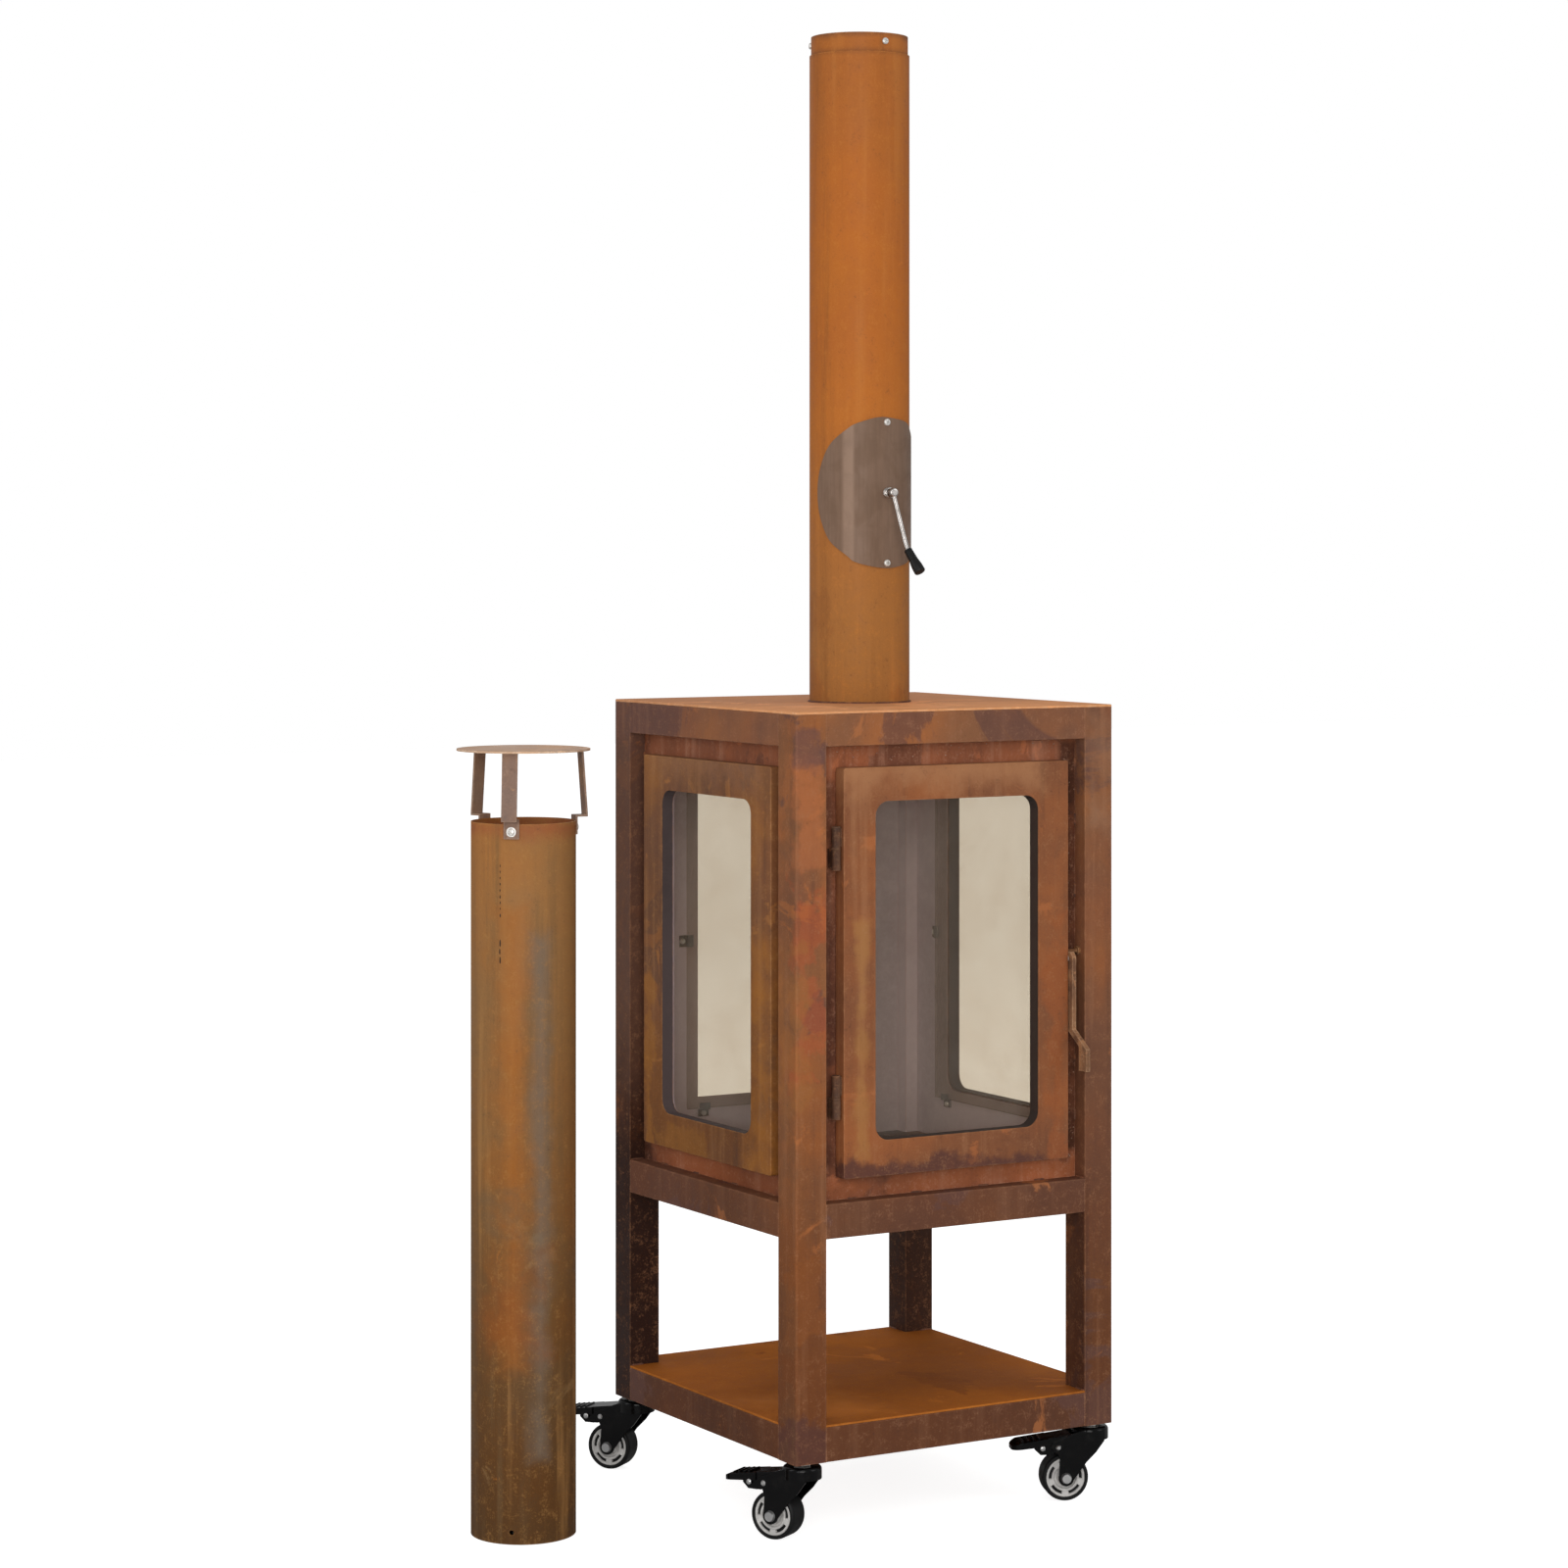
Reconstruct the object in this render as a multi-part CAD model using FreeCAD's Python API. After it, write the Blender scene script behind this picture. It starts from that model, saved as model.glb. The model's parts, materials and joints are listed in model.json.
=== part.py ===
import FreeCAD, Part
import math
import os

# Corten steel garden chiminea on four braked casters, with a glazed firebox,
# a wood shelf, a flue with a damper, and a loose upper flue with a rain cap.
# Millimetres. +Z is up, the origin is on the floor under the firebox's centre,
# and the door faces -Y. The loose upper flue stands on the floor on the -X side.

# ---- driving dimensions ----
BODY = 400.0                 # width and depth over the posts
TUBE = 36.5                  # square tube of the frame
TUBE_WALL = 2.5
FRAME_BOTTOM = 83.0          # top of the casters
FRAME_TOP = 864.5
MID_RAIL_BOTTOM = 315.0
TOP_RAIL_BOTTOM = 828.0
TOP_PLATE = 2.5
SHEET = 2.0                  # walls, shelf and door skins
WALL_INSET = 18.5            # wall sheet behind the frame's outer face
EDGE_R = 2.5                 # rounded outer corners of the frame

DOOR_HALF_W = 142.0
DOOR_BOTTOM = 375.5
DOOR_TOP = 805.0
DOOR_DEPTH = 16.5
DOOR_WINDOW_HALF_W = 103.0
DOOR_WINDOW_BOTTOM = 413.0
DOOR_WINDOW_TOP = 769.0
WINDOW_R = 16.0
DOORWAY_HALF_W = 126.0
DOORWAY_BOTTOM = 388.0
DOORWAY_TOP = 792.5

PANEL_HALF_W = 140.0         # raised window frames on both sides
PANEL_BOTTOM = 375.0
PANEL_TOP = 805.0
PANEL_INSET = 4.5
PANEL_WINDOW_HALF_W = 98.0
PANEL_WINDOW_BOTTOM = 412.5
PANEL_WINDOW_TOP = 768.0
BACK_WINDOW_HALF_W = 104.5

GLASS = 4.0
PANE_HALF_W = 119.0
PANE_BOTTOM = 400.0
PANE_TOP = 780.0
DOOR_GLASS_HALF_W = 114.0
DOOR_GLASS_BOTTOM = 402.0
DOOR_GLASS_TOP = 779.0

HINGE_X = -148.0
HINGE_Y = -194.0
HINGE_R = 4.75
HINGE_PIN_R = 3.0
HINGE_LENGTH = 46.0
HINGE_BOTTOMS = (438.0, 698.0)

LATCH_Y = -195.0             # pivot of the latch lever
LATCH_Z = 591.0
LATCH_X = 143.0              # door side of the lever
LATCH_T = 5.0
KEEPER_Y = -187.5
KEEPER_Z = 597.6
KEEPER_R = 2.0

FLUE_R = 55.3
FLUE_WALL = 1.5
FLUE_LENGTH = 748.0
LOWER_FLUE_TOP = 1578.0
SLEEVE_TOP = 1598.7
SLEEVE_SCREW_Z = 1589.5

DAMPER_Z = 1095.0
COVER_R = 82.5
COVER_T = 1.8
SPINDLE_R = 4.0
SPINDLE_TIP_R = 2.9          # reduced front end, in the hub of the rod
SPINDLE_FRONT = -74.0

LOOSE_X = -415.0             # axis of the loose upper flue
LOOSE_Y = 0.0
CAP_R = 70.4
CAP_Z = 822.0
CAP_T = 2.0
STRAP_ANGLES = (-129.5, -9.5, 110.5)
STRAP_W = 16.5

CASTER_AT = 182.0            # stem positions are (+-CASTER_AT, +-CASTER_AT)
CASTER_TRAIL = 29.0
WHEEL_R = 25.5
AXLE_R = 4.0
STEM_R = 5.0
RUNNING = 0.05               # radial clearance of shafts that turn
GAP = 0.3                    # clearance between faces that pass each other
CASTERS = {                  # corner signs and the direction that the wheel trails to
    "front_left": (-1, -1, 119.5),
    "front_right": (1, -1, 157.5),
    "rear_left": (-1, 1, 126.6),
    "rear_right": (1, 1, 150.0),
}

HALF = BODY / 2
POST_IN = HALF - TUBE        # inner faces of the posts
WALL_FRONT = -(HALF - WALL_INSET)
WALL_BACK = WALL_FRONT + SHEET
MID_RAIL_TOP = MID_RAIL_BOTTOM + TUBE
BOTTOM_RAIL_TOP = FRAME_BOTTOM + TUBE
POST_TOP = FRAME_TOP - TOP_PLATE
FLUE_IN_R = FLUE_R - FLUE_WALL
DOOR_FRONT = -HALF
DOOR_BACK = DOOR_FRONT + DOOR_DEPTH
X_AXIS = FreeCAD.Vector(1, 0, 0)
Y_AXIS = FreeCAD.Vector(0, 1, 0)
Z_AXIS = FreeCAD.Vector(0, 0, 1)
ORIGIN = FreeCAD.Vector(0, 0, 0)


# ---- helpers ----
def box(x0, x1, y0, y1, z0, z1):
    """A block between three pairs of coordinates."""
    return Part.makeBox(x1 - x0, y1 - y0, z1 - z0, FreeCAD.Vector(x0, y0, z0))


def rod(start, end, radius, end_radius=None):
    """A round bar, or a cone, between two points."""
    a = FreeCAD.Vector(*start)
    b = FreeCAD.Vector(*end)
    length = (b - a).Length
    if end_radius is None:
        return Part.makeCylinder(radius, length, a, b - a)
    return Part.makeCone(radius, end_radius, length, a, b - a)


def revolve_z(points):
    """A solid of revolution about Z from (radius, z) points."""
    corners = [FreeCAD.Vector(r, 0, z) for r, z in points]
    outline = Part.makePolygon(corners + corners[:1])
    return Part.Face(outline).revolve(ORIGIN, Z_AXIS, 360)


def plate_xz(points, y0, y1):
    """A flat plate cut to (x, z) points, from y0 to y1."""
    corners = [FreeCAD.Vector(x, y0, z) for x, z in points]
    outline = Part.makePolygon(corners + corners[:1])
    return Part.Face(outline).extrude(FreeCAD.Vector(0, y1 - y0, 0))


def rounded_block(half_w, z0, z1, radius, y0, y1):
    """A block centred on X = 0 whose four edges along Y are rounded."""
    block = box(-half_w, half_w, y0, y1, z0, z1)
    along_y = [e for e in block.Edges if abs(e.tangentAt(e.FirstParameter).y) > 0.9]
    return block.makeFillet(radius, along_y)


def round_edges(solid, radius, wanted):
    """Fillets the straight edges whose centre passes the test."""
    edges = [e for e in solid.Edges if wanted(e.CenterOfMass, e.tangentAt(e.FirstParameter))]
    return solid.makeFillet(radius, edges)


def turned(shape, degrees):
    """A copy turned about the Z axis."""
    copy = shape.copy()
    copy.rotate(ORIGIN, Z_AXIS, degrees)
    return copy


def moved(shape, x, y, z=0.0):
    """A copy moved by x, y and z."""
    copy = shape.copy()
    copy.translate(FreeCAD.Vector(x, y, z))
    return copy


def save(name, *solids):
    """Writes one node: one solid, or a group of separate solids."""
    shape = solids[0] if len(solids) == 1 else Part.makeCompound(list(solids))
    if len(shape.Solids) == 1:
        shape = shape.Solids[0]
    assert shape.isValid() and shape.Volume > 0, name
    shape.exportStep("parts/" + name + ".step")


# ---- frame ----
def frame_nodes():
    """Welded frame of square tube, with its shelf and top plate."""
    posts = []
    end_plates = []
    hollow = TUBE - 2 * TUBE_WALL
    inner = POST_IN + TUBE_WALL
    for sx in (-1, 1):
        for sy in (-1, 1):
            x0 = POST_IN if sx > 0 else -HALF
            y0 = POST_IN if sy > 0 else -HALF
            outer = box(x0, x0 + TUBE, y0, y0 + TUBE, FRAME_BOTTOM, POST_TOP)
            outer = round_edges(outer, EDGE_R, lambda c, t, sx=sx, sy=sy: abs(t.z) > 0.9
                                and c.x * sx > HALF - 1 and c.y * sy > HALF - 1)
            hx = inner if sx > 0 else -inner - hollow
            hy = inner if sy > 0 else -inner - hollow
            posts.append(outer.cut(box(hx, hx + hollow, hy, hy + hollow, 0, FRAME_TOP)))
            plate = box(hx, hx + hollow, hy, hy + hollow, FRAME_BOTTOM, FRAME_BOTTOM + 5)
            hole = rod((sx * CASTER_AT, sy * CASTER_AT, 0), (sx * CASTER_AT, sy * CASTER_AT, 200), STEM_R)
            end_plates.append(plate.cut(hole))
    save("frame_posts", *posts)
    save("post_end_plates", *end_plates)

    rails = []
    for z0, z1 in ((FRAME_BOTTOM, BOTTOM_RAIL_TOP), (MID_RAIL_BOTTOM, MID_RAIL_TOP), (TOP_RAIL_BOTTOM, POST_TOP)):
        rail = box(-POST_IN, POST_IN, -HALF, -POST_IN, z0, z1)
        rail = round_edges(rail, 1.2, lambda c, t: abs(t.x) > 0.9 and c.y < -HALF + 1)
        rail = rail.cut(box(-HALF, HALF, -HALF + TUBE_WALL, -inner, z0 + TUBE_WALL, z1 - TUBE_WALL))
        rails += [turned(rail, angle) for angle in (0, 90, 180, 270)]
    save("frame_rails", *rails)

    shelf = box(-HALF, HALF, -HALF, HALF, BOTTOM_RAIL_TOP, BOTTOM_RAIL_TOP + SHEET)
    for sx in (-1, 1):
        for sy in (-1, 1):
            shelf = shelf.cut(box(*sorted((sx * POST_IN, sx * 300)), *sorted((sy * POST_IN, sy * 300)), 0, 200))
    shelf = round_edges(shelf, 1.0, lambda c, t: c.z > BOTTOM_RAIL_TOP + SHEET - 0.1
                        and max(abs(c.x), abs(c.y)) > HALF - 1)
    save("shelf_plate", shelf)

    top = box(-HALF, HALF, -HALF, HALF, POST_TOP, FRAME_TOP)
    top = round_edges(top, EDGE_R, lambda c, t: abs(t.z) > 0.9)
    top = round_edges(top, 1.2, lambda c, t: c.z > FRAME_TOP - 0.1)
    save("top_plate", top.cut(rod((0, 0, 0), (0, 0, 1000), FLUE_R)))


# ---- firebox ----
def glass_clips(half_w, z0, z1, face_y):
    """Six bent clips and their screws, for a pane that lies on a face seen from +Y.

    Returns the clips, the screws, and the holes that the screws need."""
    thick = 1.3
    width = 13.0
    profile = ((-6.0, GLASS), (0.2, GLASS), (0.2, 0.0), (9.5, 0.0), (9.5, thick),
               (0.2 + thick, thick), (0.2 + thick, GLASS + thick), (-6.0, GLASS + thick))
    screw_at = 5.8
    corners = [FreeCAD.Vector(u, d, -width / 2) for u, d in profile]
    clip = Part.Face(Part.makePolygon(corners + corners[:1])).extrude(FreeCAD.Vector(0, 0, width))
    hole = rod((screw_at, -SHEET - 1, 0), (screw_at, thick + 1, 0), 1.9)
    clip = clip.cut(hole)
    head = rod((screw_at, thick, 0), (screw_at, thick + 2.0, 0), 3.3, 2.4)
    screw = rod((screw_at, -SHEET, 0), (screw_at, thick, 0), 1.9).fuse(head)
    middle = (z0 + z1) / 2
    places = [(half_w, middle, 0), (-half_w, middle, 180)]
    for x in (-0.82 * half_w, 0.82 * half_w):
        places += [(x, z1, -90), (x, z0, 90)]
    groups = ([], [], [])
    for x, z, angle in places:
        for group, shape in zip(groups, (clip, screw, hole)):
            copy = shape.copy()
            copy.rotate(ORIGIN, Y_AXIS, angle)
            copy.translate(FreeCAD.Vector(x, face_y, z))
            group.append(copy)
    return groups


def raised_frame(half_w, z0, z1, front, back, window, corner=3.0):
    """A folded tray with a window: skin, outer return and window return, open at its back."""
    win_w, win_z0, win_z1 = window
    tray = rounded_block(half_w, z0, z1, corner, front, back)
    tray = round_edges(tray, 1.0, lambda c, t: c.y < front + 0.1)
    tray = tray.cut(box(-half_w + SHEET, half_w - SHEET, front + SHEET, back, z0 + SHEET, z1 - SHEET))
    liner = rounded_block(win_w + SHEET, win_z0 - SHEET, win_z1 + SHEET, WINDOW_R + SHEET, front + SHEET, back)
    hole = rounded_block(win_w, win_z0, win_z1, WINDOW_R, front - 1, back + 1)
    return tray.fuse(liner).cut(hole)


def firebox_nodes():
    """Recessed wall sheets, raised window frames, glass and the firebox floor."""
    sheet = box(-POST_IN, POST_IN, WALL_FRONT, WALL_BACK, MID_RAIL_TOP, TOP_RAIL_BOTTOM)
    doorway = rounded_block(DOORWAY_HALF_W, DOORWAY_BOTTOM, DOORWAY_TOP, 6.0, WALL_FRONT - 1, WALL_BACK + 1)
    front = sheet.cut(doorway)
    side_hole = rounded_block(PANEL_WINDOW_HALF_W + SHEET, PANEL_WINDOW_BOTTOM - SHEET,
                              PANEL_WINDOW_TOP + SHEET, WINDOW_R + SHEET, WALL_FRONT - 1, WALL_BACK + 1)
    side = sheet.cut(side_hole)
    back_hole = box(-BACK_WINDOW_HALF_W, BACK_WINDOW_HALF_W, WALL_FRONT - 1, WALL_BACK + 1,
                    PANEL_WINDOW_BOTTOM, PANEL_WINDOW_TOP)
    rear = sheet.cut(back_hole)
    clips, screws, holes = glass_clips(PANE_HALF_W, PANE_BOTTOM, PANE_TOP, WALL_BACK)
    for hole in holes:
        side = side.cut(hole)
        rear = rear.cut(hole)
    pane = box(-PANE_HALF_W, PANE_HALF_W, WALL_BACK, WALL_BACK + GLASS, PANE_BOTTOM, PANE_TOP)
    save("front_wall", front)
    save("side_walls", turned(side, -90), turned(side, 90))
    save("back_wall", turned(rear, 180))
    turns = (-90, 90, 180)
    save("wall_glass", *[turned(pane, a) for a in turns])
    save("wall_glass_clips", *[turned(c, a) for a in turns for c in clips])
    save("wall_clip_screws", *[turned(s, a) for a in turns for s in screws])

    panel = raised_frame(PANEL_HALF_W, PANEL_BOTTOM, PANEL_TOP, -HALF + PANEL_INSET, WALL_FRONT,
                         (PANEL_WINDOW_HALF_W, PANEL_WINDOW_BOTTOM, PANEL_WINDOW_TOP))
    save("side_window_frames", turned(panel, -90), turned(panel, 90))

    floor_half = -WALL_BACK
    floor = box(-floor_half, floor_half, -floor_half, floor_half, MID_RAIL_TOP, MID_RAIL_TOP + 3)
    for sx in (-1, 1):
        for sy in (-1, 1):
            floor = floor.cut(box(*sorted((sx * POST_IN, sx * 300)), *sorted((sy * POST_IN, sy * 300)), 0, 400))
    slot_length = 44.0
    slot_w = 6.0
    for column in (-1, 0, 1):
        for row in range(-3, 4):
            x = column * 64.0
            y = row * 24.0
            slot = box(x - slot_length / 2, x + slot_length / 2, y - slot_w / 2, y + slot_w / 2, 340, 360)
            floor = floor.cut(slot)
    save("firebox_floor", floor)


# ---- door ----
def door_nodes():
    """Hinged door: folded shell, back plate, glass, seal and its half of the hinges."""
    window = (DOOR_WINDOW_HALF_W, DOOR_WINDOW_BOTTOM, DOOR_WINDOW_TOP)
    shell = raised_frame(DOOR_HALF_W, DOOR_BOTTOM, DOOR_TOP, DOOR_FRONT, DOOR_BACK, window)
    bolt_hole = rod((130, LATCH_Y, LATCH_Z), (150, LATCH_Y, LATCH_Z), 2.5)
    shell = shell.cut(bolt_hole)
    back = box(-DOOR_HALF_W + SHEET, DOOR_HALF_W - SHEET, DOOR_BACK - SHEET, DOOR_BACK,
               DOOR_BOTTOM + SHEET, DOOR_TOP - SHEET)
    back = back.cut(rounded_block(DOOR_WINDOW_HALF_W + SHEET, DOOR_WINDOW_BOTTOM - SHEET,
                                  DOOR_WINDOW_TOP + SHEET, WINDOW_R + SHEET, DOOR_BACK - 9, DOOR_BACK + 9))
    clips, screws, holes = glass_clips(DOOR_GLASS_HALF_W, DOOR_GLASS_BOTTOM, DOOR_GLASS_TOP, DOOR_BACK)
    for hole in holes:
        back = back.cut(hole)
    save("door_shell", shell)
    save("door_back_plate", back)
    save("door_glass", box(-DOOR_GLASS_HALF_W, DOOR_GLASS_HALF_W, DOOR_BACK, DOOR_BACK + GLASS,
                           DOOR_GLASS_BOTTOM, DOOR_GLASS_TOP))
    save("door_glass_clips", *clips)
    save("door_clip_screws", *screws)

    seal_t = WALL_FRONT - GAP - DOOR_BACK
    seal_w = 9.0
    seal = rounded_block(DOORWAY_HALF_W + 1 + seal_w, DOORWAY_BOTTOM - 1 - seal_w, DOORWAY_TOP + 1 + seal_w,
                         8.0, DOOR_BACK, DOOR_BACK + seal_t)
    seal = seal.cut(rounded_block(DOORWAY_HALF_W + 1, DOORWAY_BOTTOM - 1, DOORWAY_TOP + 1,
                                  5.0, DOOR_BACK - 1, DOOR_BACK + 9))
    save("door_seal", seal)


def hinge_nodes():
    """Two lift-off barrel hinges. The pin is fixed in the lower barrel, on the frame."""
    frame_halves = []
    door_halves = []
    for z0 in HINGE_BOTTOMS:
        split = z0 + HINGE_LENGTH / 2
        top = z0 + HINGE_LENGTH
        lower = rod((HINGE_X, HINGE_Y, z0), (HINGE_X, HINGE_Y, split), HINGE_R)
        tab = box(HINGE_X - 3, HINGE_X + 3, HINGE_Y + 2, WALL_FRONT, z0 + 2, split - 1)
        pin = rod((HINGE_X, HINGE_Y, split), (HINGE_X, HINGE_Y, top - 4), HINGE_PIN_R)
        frame_halves.append(lower.fuse([tab, pin]))
        upper = rod((HINGE_X, HINGE_Y, split + GAP), (HINGE_X, HINGE_Y, top), HINGE_R)
        door_tab = box(HINGE_X + 3, -DOOR_HALF_W, HINGE_Y - 2, HINGE_Y + 3, split + 2, top - 2)
        bore = rod((HINGE_X, HINGE_Y, split), (HINGE_X, HINGE_Y, top - 3), HINGE_PIN_R + RUNNING)
        door_halves.append(upper.fuse(door_tab).cut(bore))
    save("hinge_frame_halves", *frame_halves)
    save("hinge_door_halves", *door_halves)


def latch_nodes():
    """Latch lever on a bolt in the door's side. Its hook rises behind the keeper pin."""
    head_r = 7.0
    bar_front = LATCH_Y - 11.0
    bar_rear = LATCH_Y + 3.0
    knee_z = 517.0
    foot_z = 498.0
    end_z = 472.0
    crank = 26.0
    outline = [(bar_rear, LATCH_Z), (bar_rear, knee_z), (bar_rear - crank, foot_z), (bar_rear - crank, end_z),
               (bar_front - crank, end_z), (bar_front - crank, foot_z - 2), (bar_front, knee_z - 2),
               (bar_front, LATCH_Z + 2), (bar_front + 4, LATCH_Z + 7), (LATCH_Y, LATCH_Z + 7)]
    corners = [FreeCAD.Vector(LATCH_X, y, z) for y, z in outline]
    bar = Part.Face(Part.makePolygon(corners + corners[:1])).extrude(FreeCAD.Vector(LATCH_T, 0, 0))
    head = rod((LATCH_X, LATCH_Y, LATCH_Z), (LATCH_X + LATCH_T, LATCH_Y, LATCH_Z), head_r)
    arm = box(LATCH_X, LATCH_X + LATCH_T, LATCH_Y, LATCH_Y + 12.5, LATCH_Z - 4, LATCH_Z + 1.4)
    nib = box(LATCH_X, LATCH_X + LATCH_T, LATCH_Y + 10.6, LATCH_Y + 12.5, LATCH_Z, LATCH_Z + 4.2)
    lever = bar.fuse([head, arm, nib])
    pin_space = rod((LATCH_X - 1, KEEPER_Y, KEEPER_Z), (LATCH_X + 9, KEEPER_Y, KEEPER_Z), KEEPER_R + 0.6)
    pivot_hole = rod((LATCH_X - 1, LATCH_Y, LATCH_Z), (LATCH_X + 9, LATCH_Y, LATCH_Z), 2.5 + RUNNING)
    save("latch_lever", lever.cut(pin_space).cut(pivot_hole).removeSplitter())

    shank = rod((DOOR_HALF_W - 7, LATCH_Y, LATCH_Z), (LATCH_X + LATCH_T + GAP, LATCH_Y, LATCH_Z), 2.5)
    washer = rod((DOOR_HALF_W, LATCH_Y, LATCH_Z), (LATCH_X - GAP, LATCH_Y, LATCH_Z), 4.5)
    nut = rod((DOOR_HALF_W - SHEET - 4, LATCH_Y + 0.5, LATCH_Z), (DOOR_HALF_W - SHEET, LATCH_Y + 0.5, LATCH_Z), 3.4)
    head = rod((LATCH_X + LATCH_T + GAP, LATCH_Y, LATCH_Z), (LATCH_X + LATCH_T + 3, LATCH_Y, LATCH_Z), 4.6, 3.4)
    save("latch_bolt", shank.fuse([washer, nut, head]))

    pin = rod((LATCH_X + 1, KEEPER_Y, KEEPER_Z), (POST_IN, KEEPER_Y, KEEPER_Z), KEEPER_R)
    flange = rod((POST_IN - 3, KEEPER_Y, KEEPER_Z), (POST_IN, KEEPER_Y, KEEPER_Z), 5.0)
    save("latch_keeper", pin.fuse(flange))


# ---- flue and damper ----
def radial_screw(radius, z, degrees, wall, head_r=3.6):
    """A pan-head screw in a tube's wall, and its hole. The shank ends flush inside."""
    head = rod((radius, 0, z), (radius + 2.4, 0, z), head_r, head_r - 1.0)
    shank = rod((radius - wall, 0, z), (radius, 0, z), 1.9)
    hole = rod((radius - wall - 5, 0, z), (radius, 0, z), 1.9)
    screw = shank.fuse(head)
    return turned(screw, degrees), turned(hole, degrees)


def wrapped_disc(radius, inner_r, thick, z):
    """A flat round plate of the given radius, rolled round a vertical tube on its -Y side."""
    tube = Part.Cylinder()
    tube.Radius = inner_r
    tube.Center = FreeCAD.Vector(0, 0, z)
    steps = 24
    outline = []
    for i in range(steps):
        angle = 2 * math.pi * i / steps
        around = 1.5 * math.pi + radius / inner_r * math.sin(angle)
        outline.append(FreeCAD.Base.Vector2d(around, radius * math.cos(angle)))
    curve = Part.Geom2d.BSplineCurve2d()
    curve.interpolate(outline, True)
    face = Part.Face(tube, Part.Wire([curve.toShape(tube)]))
    face.validate()
    return face.makeOffsetShape(thick, 0.01, False, False, 0, 0, True)


def flue_nodes():
    """Lower flue in the top plate, joint sleeve, damper cover and their screws."""
    pipe = rod((0, 0, LOWER_FLUE_TOP - FLUE_LENGTH), (0, 0, LOWER_FLUE_TOP), FLUE_R)
    pipe = pipe.cut(rod((0, 0, 0), (0, 0, 3000), FLUE_IN_R))
    pipe = pipe.cut(rod((0, -FLUE_R - 5, DAMPER_Z), (0, 0, DAMPER_Z), 40.0))
    pipe = pipe.cut(rod((0, 0, DAMPER_Z), (0, FLUE_R + 5, DAMPER_Z), SPINDLE_R + RUNNING))
    cover = wrapped_disc(COVER_R, FLUE_R, COVER_T, DAMPER_Z)
    cover = cover.cut(rod((0, -FLUE_R - 9, DAMPER_Z), (0, 0, DAMPER_Z), SPINDLE_R + RUNNING))
    screws = []
    for z in (DAMPER_Z - COVER_R + 5.5, DAMPER_Z + COVER_R - 5.5):
        screw, hole = radial_screw(FLUE_R + COVER_T, z, 270, FLUE_WALL + COVER_T, 4.0)
        screws.append(screw)
        cover = cover.cut(hole)
        pipe = pipe.cut(hole)

    sleeve_r = FLUE_IN_R - 0.2
    sleeve = revolve_z(((sleeve_r - 1.2, LOWER_FLUE_TOP - 38), (FLUE_IN_R, LOWER_FLUE_TOP - 38),
                        (FLUE_IN_R, LOWER_FLUE_TOP), (sleeve_r, LOWER_FLUE_TOP),
                        (sleeve_r, SLEEVE_TOP), (sleeve_r - 1.2, SLEEVE_TOP)))
    for degrees in (30, 150, 270):
        screw, hole = radial_screw(sleeve_r, SLEEVE_SCREW_Z, degrees, 1.2)
        screws.append(screw)
        sleeve = sleeve.cut(hole)
    save("lower_flue", pipe)
    save("joint_sleeve", sleeve)
    save("damper_cover", cover)
    save("flue_screws", *screws)


def damper_nodes():
    """Butterfly damper on a spindle, with a spring, a bent rod and a grip."""
    disc_r = FLUE_IN_R - 1.6
    disc = rod((-SPINDLE_R - 2, 0, DAMPER_Z), (-SPINDLE_R, 0, DAMPER_Z), disc_r)
    save("damper_disc", disc)
    hub_back = SPINDLE_FRONT + 7.0
    spindle = rod((0, hub_back, DAMPER_Z), (0, FLUE_R + 4, DAMPER_Z), SPINDLE_R)
    spindle = spindle.fuse(rod((0, SPINDLE_FRONT, DAMPER_Z), (0, hub_back, DAMPER_Z), SPINDLE_TIP_R))
    save("damper_spindle", spindle)

    wire_r = 0.8
    coil_r = SPINDLE_R + wire_r + 0.2
    spring_back = -(FLUE_R + COVER_T + GAP + wire_r)
    travel = spring_back - hub_back - 2 * wire_r
    helix = Part.makeHelix(travel / 3, travel, coil_r)
    section = Part.Wire(Part.Edge(Part.Circle(FreeCAD.Vector(coil_r, 0, 0), Y_AXIS, wire_r)))
    spring = Part.Wire(helix.Edges).makePipeShell([section], True, True)
    spring.rotate(ORIGIN, X_AXIS, 90)
    spring.translate(FreeCAD.Vector(0, spring_back, DAMPER_Z))
    save("damper_spring", spring)

    bend = FreeCAD.Vector(6.0, -88.0, DAMPER_Z - 60)
    tip = FreeCAD.Vector(11.0, -104.0, DAMPER_Z - 83)
    along = (tip - bend).normalize()
    hub = rod((0, SPINDLE_FRONT, DAMPER_Z), (0, hub_back, DAMPER_Z), 4.9)
    start = (0.4, SPINDLE_FRONT + 3, DAMPER_Z - 3.9)
    shaft = rod(start, tuple(bend), 2.5)
    knee = Part.makeSphere(2.5, bend)
    tang = rod(tuple(bend), tuple(bend + along * 16), 2.5)
    bore = rod((0, SPINDLE_FRONT - 9, DAMPER_Z), (0, hub_back + 9, DAMPER_Z), SPINDLE_TIP_R)
    save("damper_rod", hub.fuse([shaft, knee, tang]).cut(bore))
    grip = rod(tuple(bend + along * 3), tuple(tip + along * 3.5), 4.4, 6.2)
    grip = grip.fuse(rod(tuple(tip + along * 3.5), tuple(tip + along * 4.8), 6.2, 5.0))
    save("damper_grip", grip.cut(rod(tuple(bend), tuple(bend + along * 16), 2.5)))


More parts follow.
